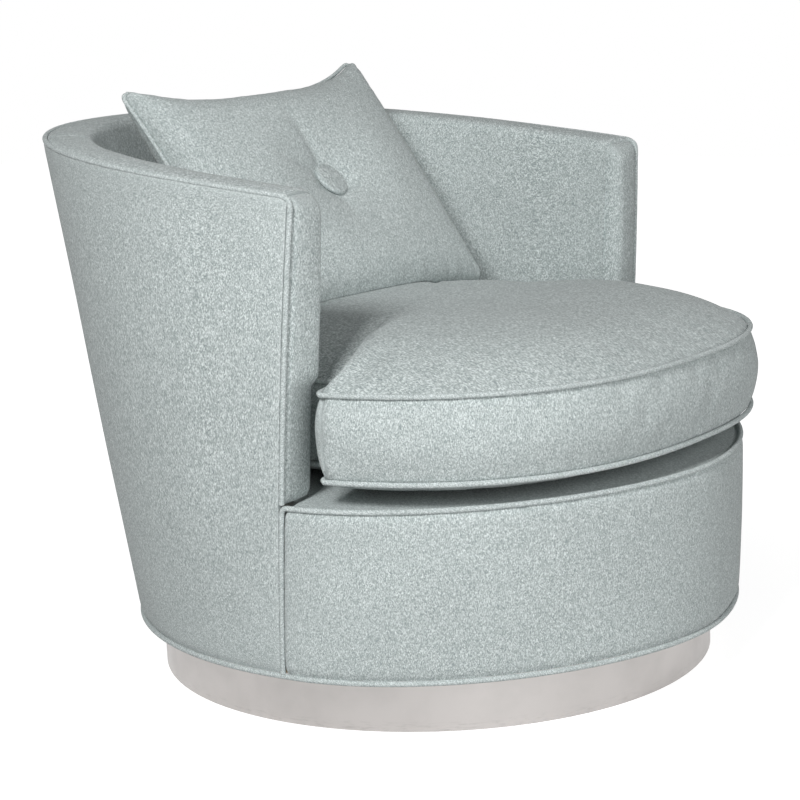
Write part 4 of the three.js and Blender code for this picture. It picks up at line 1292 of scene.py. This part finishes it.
    def arm_and_back_piping(self) -> bpy.types.Object:
        """The piping up the arm fronts and round the top."""
        f = self.form
        edge = f.back(f.welt)
        foot = f.deck_edge + 2 * f.welt + 2 * f.clear
        top = f.rail(edge) - f.welt_inset
        left, right = self.uprights(edge, foot, top - f.welt, 24)
        end = f.back(1.5 * f.welt)
        over = []
        for i in range(401):
            s = mix(-1, 1, i / 400)
            u = end * math.copysign(1 - (1 - abs(s)) ** 1.15, s)
            over.append(f.wall(u, f.rail(u) - f.welt_inset, f.welt_inset))
        line = Line([*left, *over, *right], ring=False).rounded(1).spaced(1100)
        return Piping(f.welt).run("arm_and_back_piping", line, ACROSS)

    def dust_cover(self) -> bpy.types.Object:
        """The black cloth stapled under the tub, with a hole for the swivel.

        Returns:
            The finished piece.
        """
        f = self.form
        level = f.bottom - 6 * f.clear
        line = self.body_outline(f.bottom, 2 * f.behind_welt, 2 * f.behind_welt, f.behind_welt)
        ring = line.rounded(1).spaced(300)
        hole, thick = self.swivel_hole, 0.0006

        def place(a: float, b: float) -> Vector:
            edge = ring.at(a)
            angle = math.atan2(edge.y - AXIS_Y, edge.x)
            inside = Vector((hole * math.cos(angle), AXIS_Y + hole * math.sin(angle), 0))
            run = b * 2 if b <= 0.5 else (1 - b) * 2
            p = inside.lerp(Vector((edge.x, edge.y, 0)), run)
            tuck = 0.0005 * abs(math.sin(a * math.pi * 90)) * smooth(0.8, 1, run)
            sag = 0.0012 * math.sin(math.pi * run)
            z = level - sag - tuck
            return Vector((p.x, p.y, z if b <= 0.5 else z + thick))

        def weave(a: float, b: float) -> tuple[float, float]:
            p = place(a, b)
            return p.x, p.y

        return sew("dust_cover_cloth", [Patch(300, 24, place, weave)], merge=1e-5)

    def build(self) -> None:
        """Makes every soft piece of the tub and ties it to the tub."""
        mount(self.outside_cover(), "tub", Finish.CLOTH, ("outside_cover",))
        mount(self.inside_pad(), "tub", Finish.CLOTH, ("inside_pad",))
        for side in Side:
            node = f"arm_front_{side.name.lower()}"
            mount(self.arm_front(side), "tub", Finish.CLOTH, (node,))
        mount(self.front_panel(), "tub", Finish.CLOTH, ("front_panel",))
        mount(self.deck(), "tub", Finish.CLOTH, ("deck_pad",))
        mount(self.bottom_piping(), "tub", Finish.WELT, ("bottom_welt",))
        mount(self.panel_piping(), "tub", Finish.WELT, ("panel_welt",))
        mount(self.arm_and_back_piping(), "tub", Finish.WELT, ("arm_and_back_welt",))
        cover = self.dust_cover()
        mount(cover, "tub", Finish.DUST, ("dust_cover",))


# ---------------------------------------------------------------- loose seat cushion


@dataclass
class SeatCushion:
    """Boxed cushion with a T plan and piped edges."""

    form: TubForm = field(default_factory=TubForm)
    plan: Plan = Plan(0.394, 0.3855, -0.012, 2.46)
    ear_span: float = math.radians(78)
    notch_x: float = 0.315
    notch_set_off: float = 0.0215
    ear_round: float = 0.009
    fit: float = 0.006
    seam_low: float = 0.312
    seam_high: float = 0.413
    crown: float = 0.043
    crown_fall: float = 4.2
    bulge: float = 0.008
    groove: float = 0.0034
    foot: float = 0.2832
    welt: float = 0.0033
    steps: int = 208
    stuffing: Stuffing = Stuffing(pressure=4.0, slack=0.006, most=0.010)

    def outline(self) -> Line:
        """The seam's plan: the front, both ears, the notches and the rear.

        Returns:
            The closed line with even steps, from the left ear round the front.
        """
        f = self.form
        shift = Vector((0, AXIS_Y))
        front = [self.plan.point(mix(-self.ear_span, self.ear_span, i / 60)) + shift for i in range(61)]
        face = f.wall(1, self.seam_high, f.arm_thickness)
        notch = Vector((self.notch_x, face.y - self.notch_set_off))
        ear = front[-1]
        ear_back = ear.lerp(notch, self.ear_round / (ear - notch).length)
        ear_back.y += self.ear_round * 0.2
        end = f.back(0.010)
        rear = []
        for i in range(61):
            u = mix(end, -end, i / 60)
            depth = f.thickness(u, self.seam_low) + self.fit + self.bulge
            p = f.wall(u, self.seam_low, depth)
            rear.append(Vector((clamp(p.x, -self.notch_x, self.notch_x), p.y)))
        mirrored = [Vector((-p.x, p.y)) for p in (notch, ear_back)]
        points = [*front, ear_back, notch, *rear, *mirrored]
        dense = Line([Vector((p.x, p.y, 0)) for p in points], ring=True).spaced(260)
        return dense.rounded(3).spaced(self.steps)

    def body(self, ring: Line) -> bpy.types.Object:
        """The stuffed cushion inside its seams.

        Args:
            ring: The seam's plan.

        Returns:
            The finished piece.
        """
        centre = Vector((0, AXIS_Y + self.plan.centre_y, 0))
        groove = self.groove
        total = ring.length()
        outs = []
        for i in range(self.steps):
            d = ring.along(i / self.steps)
            outs.append(Vector((d.y, -d.x, 0)))

        def spread(a: float, share: float, push: float) -> Vector:
            i = round(a * self.steps) % self.steps
            return centre.lerp(ring.points[i], share) + outs[i] * push

        def puckers(a: float, distance: float, seed: float) -> float:
            return 0.0013 * ripple(a * total * 34, seed, distance * 12) * math.exp(-distance / 0.022)

        def top(a: float, b: float) -> Vector:
            t = b ** 0.62
            p = spread(a, t, -groove * b**40)
            rise = self.crown * (1 - t**self.crown_fall)
            edge = (1 - t) * 0.38
            rise += puckers(a, edge, 2.0) * (1 - b**30)
            rise += 0.0022 * ripple(p.x * 5.5, p.y * 5.5, 0.3) * (1 - t**6)
            return Vector((p.x, p.y, self.seam_high + rise + 0.002 * (1 - b**40)))

        def boxing(a: float, b: float) -> Vector:
            z = mix(self.seam_low, self.seam_high, b)
            swell = math.sin(math.pi * b) ** 0.75
            rim = min(b, 1 - b) * (self.seam_high - self.seam_low)
            push = -groove + (groove + self.bulge) * swell + puckers(a, rim, 5.0) * (1 - bell(rim, 0.003))
            push += 0.0012 * ripple(a * total * 7, b * 2.2, 8.0) * swell
            p = spread(a, 1, push)
            return Vector((p.x, p.y, z))

        def under(a: float, b: float) -> Vector:
            t = b ** 0.62
            p = spread(a, t, -groove * b**40)
            return Vector((p.x, p.y, mix(self.foot, self.seam_low, t**6)))

        def flat(place: Place, fine: float = 1.0) -> Flat:
            def weave(a: float, b: float) -> tuple[float, float]:
                p = place(a, b)
                return p.x * fine, p.y * fine
            return weave

        def upright(a: float, b: float) -> tuple[float, float]:
            return a * total, mix(self.seam_low, self.seam_high, b)

        piece = sew("seat_cushion_cloth", [
            Patch(self.steps, 40, top, flat(top, 0.72)),
            Patch(self.steps, 16, boxing, upright),
            Patch(self.steps, 16, under, flat(under)),
        ])
        seams = (self.seam_low, self.seam_high)
        held = {
            v.index: 1.0 for v in piece.data.vertices
            if v.co.z < self.foot + 0.003 or min(abs(v.co.z - seam) for seam in seams) < 0.0001
        }
        self.stuffing.settle(piece, held)
        return piece

    def piping(self, name: str, ring: Line, z: float) -> bpy.types.Object:
        """One of the two piped seams."""
        line = Line([Vector((p.x, p.y, z)) for p in ring.points], ring=True).spaced(760)
        return Piping(self.welt).run(name, line, UP)

    def build(self) -> Ground:
        """Makes the cushion with its piping.

        Returns:
            Its top, for the pillow to rest on.
        """
        ring = self.outline()
        body = self.body(ring)
        mount(body, "seat_cushion", Finish.CLOTH, ("seat_cushion",))
        for name, node, z in (
            ("cushion_piping_top", "cushion_welt_top", self.seam_high),
            ("cushion_piping_bottom", "cushion_welt_bottom", self.seam_low),
        ):
            mount(self.piping(name, ring, z), "seat_cushion", Finish.WELT, (node,))
        return Ground(body)


# ---------------------------------------------------------------- back pillow


@dataclass(frozen=True)
class Crease:
    """A fold in the cloth that runs out from a button; the angle is in degrees."""

    angle: float
    depth: float
    width: float
    length: float

    def depth_at(self, angle: float, reach: float) -> float:
        """How deep the fold is.

        Args:
            angle: Direction from the button.
            reach: Distance from the button.

        Returns:
            The depth there.
        """
        off = (angle - math.radians(self.angle) + math.pi) % (2 * math.pi) - math.pi
        out = smooth(0.018, 0.034, reach) * (1 - smooth(self.length * 0.45, self.length * 1.5, reach))
        return self.depth * bell(off, self.width * 0.05 / max(reach, 0.02)) * out


@dataclass
class BackPillow:
    """Knife-edge pillow with a covered button sunk in each face."""

    width: float = 0.440
    height: float = 0.390
    plump: float = 0.136
    draw_in_x: float = 0.066
    draw_in_y: float = 0.233
    draw_in_foot: float = 0.065
    corner: float = 0.012
    ear: float = 3.2
    fullness: float = 0.33
    flatness: float = 1.8
    centre: Vector = field(default_factory=lambda: Vector((0.027, 0.1722, 0.5962)))
    tilt: float = math.radians(36.6)
    turn: float = math.radians(-8.4)
    roll: float = math.radians(2.7)
    welt: float = 0.0028
    button_radius: float = 0.026
    button_height: float = 0.0095
    tuft_depth: float = 0.021
    tuft_spread: float = 0.062
    tuft_below: float = 0.014
    pit: float = 0.005
    button_tip: float = math.radians(12)
    button_axis: Vector = field(default_factory=lambda: Vector((-0.47, 0.88, 0)))
    twine_radius: float = 0.0013
    clear: float = 0.0004
    steps: int = 92
    creases: tuple[Crease, ...] = (
        Crease(100, 0.0055, 0.16, 0.085), Crease(268, 0.0032, 0.14, 0.060), Crease(22, 0.0020, 0.12, 0.05),
        Crease(150, 0.0022, 0.13, 0.06), Crease(205, 0.0018, 0.12, 0.05), Crease(330, 0.0022, 0.14, 0.06),
    )
    stuffing: Stuffing = Stuffing(pressure=4.0, slack=0.002, most=0.024)

    def stand(self) -> Matrix:
        """Where the pillow lies, from its own plane with X across and Y up."""
        turned = Euler((0, 0, self.turn)).to_matrix()
        tipped = Euler((math.pi / 2 - self.tilt, 0, 0)).to_matrix()
        rolled = Euler((0, 0, self.roll)).to_matrix()
        return Matrix.Translation(self.centre) @ (turned @ tipped @ rolled).to_4x4()

    def seam(self, a: float, b: float) -> Vector:
        """A point of the pillow's mid plane, sides drawn in between the corners."""
        x = a * self.width / 2 * (1 - self.draw_in_x * (1 - abs(b) ** self.ear))
        pull = mix(self.draw_in_foot, self.draw_in_y, smooth(-1, 1, b))
        y = b * self.height / 2 * (1 - pull * (1 - abs(a) ** self.ear))
        round_off = self.corner * abs(a * b) ** 24
        return Vector((x - math.copysign(round_off, a), y - math.copysign(round_off, b), 0))

    def face(self, a: float, b: float, side: int) -> float:
        """How far a face stands off the mid plane.

        Args:
            a: Place across, -1 to 1.
            b: Place up, -1 to 1.
            side: 1 for the front, -1 for the back.

        Returns:
            The distance, without its sign.
        """
        fall = max((1 - abs(a) ** self.flatness) * (1 - abs(b) ** self.flatness), 0.0)
        if fall <= 0:
            return 0.0
        p = self.seam(a, b)
        dx, dy = p.x, p.y + self.tuft_below
        reach = math.hypot(dx, dy)
        swell = self.plump / 2 * fall**self.fullness - self.tuft_depth * bell(reach, self.tuft_spread)
        swell -= self.pit * (1 - smooth(self.button_radius - 0.003, self.button_radius + 0.013, reach))
        angle = math.atan2(dy, dx)
        for crease in self.creases:
            swell -= crease.depth_at(angle, reach)
        for edge, along, seed in (
            ((1 - abs(a)) * self.width / 2, b * 13.5, side * 4.0),
            ((1 - abs(b)) * self.height / 2, a * 15.0, side * 9.0),
        ):
            gather = 0.0026 * ripple(along, seed, edge * 9)
            swell += gather * math.exp(-edge / 0.028) * min(edge / 0.006, 1)
        swell += 0.0022 * ripple(p.x * 8, p.y * 8, side * 2.0) * min(fall * 2, 1)
        return max(swell, 0.0)

    def body(self, ground: Ground) -> bpy.types.Object:
        """The stuffed pillow.

        Args:
            ground: What it rests on.

        Returns:
            The finished piece.
        """
        place_in = self.stand()

        def stop(share: float) -> float:
            s = share - 0.5
            return math.sin(s * math.pi) * 0.5 + s

        def half(side: int) -> Place:
            def place(i: float, j: float) -> Vector:
                a, b = stop(i), stop(j)
                p = self.seam(a, b)
                p.z = side * self.face(a, b, side)
                return place_in @ p
            return place

        def spans(spot: Callable[[float], Vector]) -> list[float]:
            """Length of cloth from one edge over the face, at each step."""
            reach = [0.0]
            for k in range(self.steps):
                reach.append(reach[-1] + (spot((k + 1) / self.steps) - spot(k / self.steps)).length)
            return reach

        front = half(1)
        wide = spans(lambda share: front(share, 0.3))
        high = spans(lambda share: front(0.3, share))

        def weave(i: float, j: float) -> tuple[float, float]:
            return wide[round(i * self.steps)], high[round(j * self.steps)]

        faces = [Patch(self.steps, self.steps, half(side), weave) for side in (1, -1)]
        piece = sew("back_pillow_cloth", faces)
        out_of = place_in.inverted()
        held = {}
        for v in piece.data.vertices:
            p = out_of @ v.co
            reach = math.hypot(p.x, p.y + self.tuft_below)
            grip = 1 - smooth(self.button_radius, self.button_radius + 0.010, reach)
            if abs(p.z) < 0.0005:
                grip = 1.0
            if grip > 0:
                held[v.index] = grip
        self.stuffing.settle(piece, held)
        for v in piece.data.vertices:
            v.co = ground.above(v.co, self.clear)
        return piece

    def piping(self, ground: Ground) -> bpy.types.Object:
        """The self piping in the pillow's seam, lifted clear of what it rests on."""
        lift, steps = self.welt * 0.9, 60
        points = []
        for a0, b0, a1, b1 in ((-1, -1, 1, -1), (1, -1, 1, 1), (1, 1, -1, 1), (-1, 1, -1, -1)):
            points += [self.seam(mix(a0, a1, i / steps), mix(b0, b1, i / steps)) for i in range(steps)]
        pushed = []
        for i, p in enumerate(points):
            d = (points[(i + 1) % len(points)] - points[i - 1]).normalized()
            pushed.append(p + Vector((d.y, -d.x, 0)) * lift)
        ring = Line(pushed, ring=True).rounded(2).spaced(560)
        stand = self.stand()
        line = Line([ground.above(stand @ p, self.welt + self.clear) for p in ring.points], ring=True)
        return Piping(self.welt).run("pillow_piping", line, stand.to_3x3() @ UP)

    def button_stand(self, side: int) -> Matrix:
        """Where a button lies: over the tuft, tipped as its twine pulls it."""
        rest = self.face(0, -2 * self.tuft_below / self.height, side) - 0.0006
        spot = Matrix.Translation(Vector((0, -self.tuft_below, side * rest)))
        tipped = Matrix.Rotation(self.button_tip * side, 4, self.button_axis)
        return self.stand() @ spot @ tipped

    def button(self, side: int) -> bpy.types.Object:
        """A covered button: a domed disc with a rolled rim.

        Args:
            side: 1 for the front, -1 for the back.

        Returns:
            The finished piece.
        """
        r, h = self.button_radius, self.button_height
        place_in = self.button_stand(side)

        def place(a: float, b: float) -> Vector:
            turn = 2 * math.pi * a
            if b < 0.2:
                radius, z = r * 0.86 * b / 0.2, 0.0
            elif b < 0.6:
                t = math.pi * (b - 0.2) / 0.4
                radius = r * (0.87 + 0.13 * math.sin(t) - 0.01 * math.cos(t))
                z = h * 0.42 * (1 - math.cos(t))
            else:
                t = (1 - b) / 0.4
                radius, z = r * 0.88 * t, h * (0.84 + 0.16 * (1 - t * t))
            z += 0.0002 * ripple(math.cos(turn) * 7, math.sin(turn) * 7, b * 3) * (b > 0.35)
            return place_in @ Vector((radius * math.cos(turn), radius * math.sin(turn), side * z))

        def weave(a: float, b: float) -> tuple[float, float]:
            reach = r * (1.2 - b)
            return reach * math.cos(2 * math.pi * a), reach * math.sin(2 * math.pi * a)

        return sew("button_front" if side > 0 else "button_back", [Patch(48, 30, place, weave)])

    def twine(self) -> bpy.types.Object:
        """The doubled twine that pulls the two buttons together."""
        place_in = self.stand()
        reach = self.face(0, -2 * self.tuft_below / self.height, 1) - 0.0020
        points = [place_in @ Vector((0, -self.tuft_below, mix(-reach, reach, i / 40))) for i in range(41)]
        cord = Piping(self.twine_radius, sides=8, pucker=0.0002)
        return cord.run("tuft_twine", Line(points, ring=False), ACROSS)

    def build(self, ground: Ground) -> None:
        """Makes the pillow with its piping, buttons and twine."""
        mount(self.body(ground), "back_pillow", Finish.CLOTH, ("back_pillow",))
        mount(self.piping(ground), "back_pillow", Finish.WELT, ("pillow_welt",))
        mount(self.button(1), "back_pillow", Finish.CLOTH, ("pillow_button_front",))
        mount(self.button(-1), "back_pillow", Finish.CLOTH, ("pillow_button_back",))
        mount(self.twine(), "back_pillow", Finish.TWINE, ("tufting_twine",))


# ---------------------------------------------------------------- base and hidden frame


@dataclass
class Plinth:
    """The steel wrap of the plinth, turned smooth."""

    radius: float = 0.362
    low: float = 0.0008
    high: float = 0.067
    wall: float = 0.0014
    lip: float = 0.010
    edge: float = 0.0012

    def band(self) -> bpy.types.Object:
        """The wrap: rolled over at the top and eased at the foot.

        Returns:
            The finished piece.
        """
        r, e = self.radius, self.edge
        profile = [(r - self.wall, self.low), (r - 0.0004, self.low), (r, self.low + 0.0005)]
        profile += [(r, mix(self.low + 0.0012, self.high - e, i / 6)) for i in range(7)]
        profile += [
            (r - e * (1 - math.cos(t)), self.high - e + e * math.sin(t))
            for t in (math.pi / 8, math.pi / 4, math.pi * 3 / 8)
        ]
        profile += [(r - e, self.high), (r - self.lip, self.high), (r - self.lip, self.high - self.wall)]
        under = self.high - self.wall
        profile += [(r - self.wall - 0.0004, under), (r - self.wall, under - 0.0006)]
        return spun("plinth_band_steel", profile, 256, 30)

    def build(self) -> None:
        """Makes the plinth's wrap."""
        mount(self.band(), "base", Finish.STEEL, ("plinth_band",))


@dataclass(frozen=True)
class HiddenFrame:
    """CAD nodes that keep their shape and get their finish."""

    zinc: tuple[str, ...] = ("swivel_", "king_rivet", "lower_plate_bolt", "upper_plate_bolt", "spring_clips")
    springs: tuple[str, ...] = ("seat_spring", "caged_ball_ring")
    plywood: tuple[str, ...] = (
        "plinth_core", "base_board", "bottom_board", "back_rib", "top_rail", "seat_side", "front_board",
    )
    hardwood: tuple[str, ...] = ("arm_post", "spring_rail")
    nylon: tuple[str, ...] = ("floor_glide",)

    def build(self) -> None:
        """Dresses every CAD node that stays."""
        for starts, finish in (
            (self.zinc, Finish.ZINC), (self.springs, Finish.SPRING), (self.plywood, Finish.PLYWOOD),
            (self.hardwood, Finish.HARDWOOD), (self.nylon, Finish.NYLON),
        ):
            for name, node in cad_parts.items():
                if name.startswith(starts) and not node.hide_render:
                    finish.dress(node)
                    LOG.info("%s keeps its shape, in %s", name, finish.name.lower())


# ---------------------------------------------------------------- studio


@dataclass(frozen=True)
class Lamp:
    """A soft square lamp: its place, side and power in watts."""

    name: str
    place: Triple
    size: float
    watts: float


@dataclass
class Studio:
    """Camera, floor, backdrop light and lamps."""

    place: Vector = field(default_factory=lambda: Vector((-2.2184, -1.5986, 0.8569)))
    right: Vector = field(default_factory=lambda: Vector((0.5809, -0.8130, -0.0404)))
    up: Vector = field(default_factory=lambda: Vector((0.1786, 0.0788, 0.9808)))
    lens: float = 94.73
    floor_size: float = 14.0
    floor_tone: float = 0.55
    near_white: float = 0.84
    near: float = 0.5
    far: float = 1.6
    sky: float = 0.12
    aim: Vector = field(default_factory=lambda: Vector((0, 0, 0.4)))
    lamps: tuple[Lamp, ...] = (
        Lamp("key", (-2.9, -0.72, 2.55), 0.9, 88),
        Lamp("fill_right", (1.1, -3.6, 1.3), 2.6, 21),
        Lamp("fill_front", (-2.2, -3.2, 1.2), 2.6, 58),
    )

    def camera(self) -> None:
        """Sets the camera at the photograph's viewing angle."""
        data = bpy.data.cameras.new("camera")
        data.lens = self.lens
        data.sensor_width = 36.0
        data.clip_end = 60
        right = self.right.normalized()
        back = right.cross(self.up).normalized()
        up = back.cross(right)
        turn = Matrix((right, up, back)).transposed()
        camera = bpy.data.objects.new("camera", data)
        camera.matrix_world = Matrix.Translation(self.place) @ turn.to_4x4()
        bpy.context.scene.collection.objects.link(camera)
        bpy.context.scene.camera = camera

    def seen(self, r: Recipe) -> bpy.types.NodeSocket:
        """1 for rays from the camera and for what metal or glass shows, else 0."""
        path = r.add("LightPath").outputs
        shown = r.maths("MAXIMUM", path["Is Camera Ray"], path["Is Glossy Ray"])
        return r.maths("MAXIMUM", shown, path["Is Transmission Ray"])

    def floor(self) -> None:
        """A white floor that still takes the chair's shadow."""
        mesh = bmesh.new()
        bmesh.ops.create_grid(mesh, x_segments=4, y_segments=4, size=self.floor_size / 2)
        data = bpy.data.meshes.new("floor")
        mesh.to_mesh(data)
        mesh.free()
        floor = bpy.data.objects.new("floor", data)
        bpy.context.scene.collection.objects.link(floor)
        r = Recipe("floor_white")
        diffuse = r.add("BsdfDiffuse", (*[self.floor_tone] * 3, 1)).outputs[0]
        away = r.add("VectorMath", r.add("TexCoord").outputs["Object"], operation="LENGTH").outputs["Value"]
        white = r.range(away, self.near, self.far, self.near_white, 1.0)
        glow = r.add("Emission", (1, 1, 1, 1), r.times(self.seen(r), white)).outputs[0]
        both = r.add("AddShader", diffuse, glow).outputs[0]
        r.put(r.out.inputs[0], both)
        data.materials.append(r.made)

    def world(self) -> None:
        """White behind the chair, plain soft light around it."""
        r = Recipe("studio", world=True)
        bpy.context.scene.world = r.made
        path = r.add("LightPath").outputs
        seen = r.maths("MAXIMUM", path["Is Camera Ray"], path["Is Transmission Ray"])
        light = r.add("Background", (1, 1, 1, 1), r.range(seen, 0.0, 1.0, self.sky, 1.0))
        r.put(r.out.inputs[0], light.outputs[0])

    def light(self, lamp: Lamp) -> None:
        """Hangs a lamp and turns it to the chair's middle."""
        data = bpy.data.lights.new(lamp.name, "AREA")
        data.size = lamp.size
        data.energy = lamp.watts
        made = bpy.data.objects.new(lamp.name, data)
        spot = Vector(lamp.place)
        turn = (self.aim - spot).to_track_quat("-Z", "Y").to_matrix().to_4x4()
        made.matrix_world = Matrix.Translation(spot) @ turn
        bpy.context.scene.collection.objects.link(made)

    def build(self) -> None:
        """Sets up the whole studio."""
        self.camera()
        self.floor()
        self.world()
        for lamp in self.lamps:
            self.light(lamp)
        bpy.context.scene.view_settings.view_transform = "Standard"


def main() -> None:
    """Builds the chair and its studio."""
    logging.basicConfig(level=logging.INFO, format="%(name)s: %(message)s")
    Studio().build()
    Plinth().build()
    TubUpholstery().build()
    BackPillow().build(SeatCushion().build())
    HiddenFrame().build()


if __name__ == "__main__":
    main()
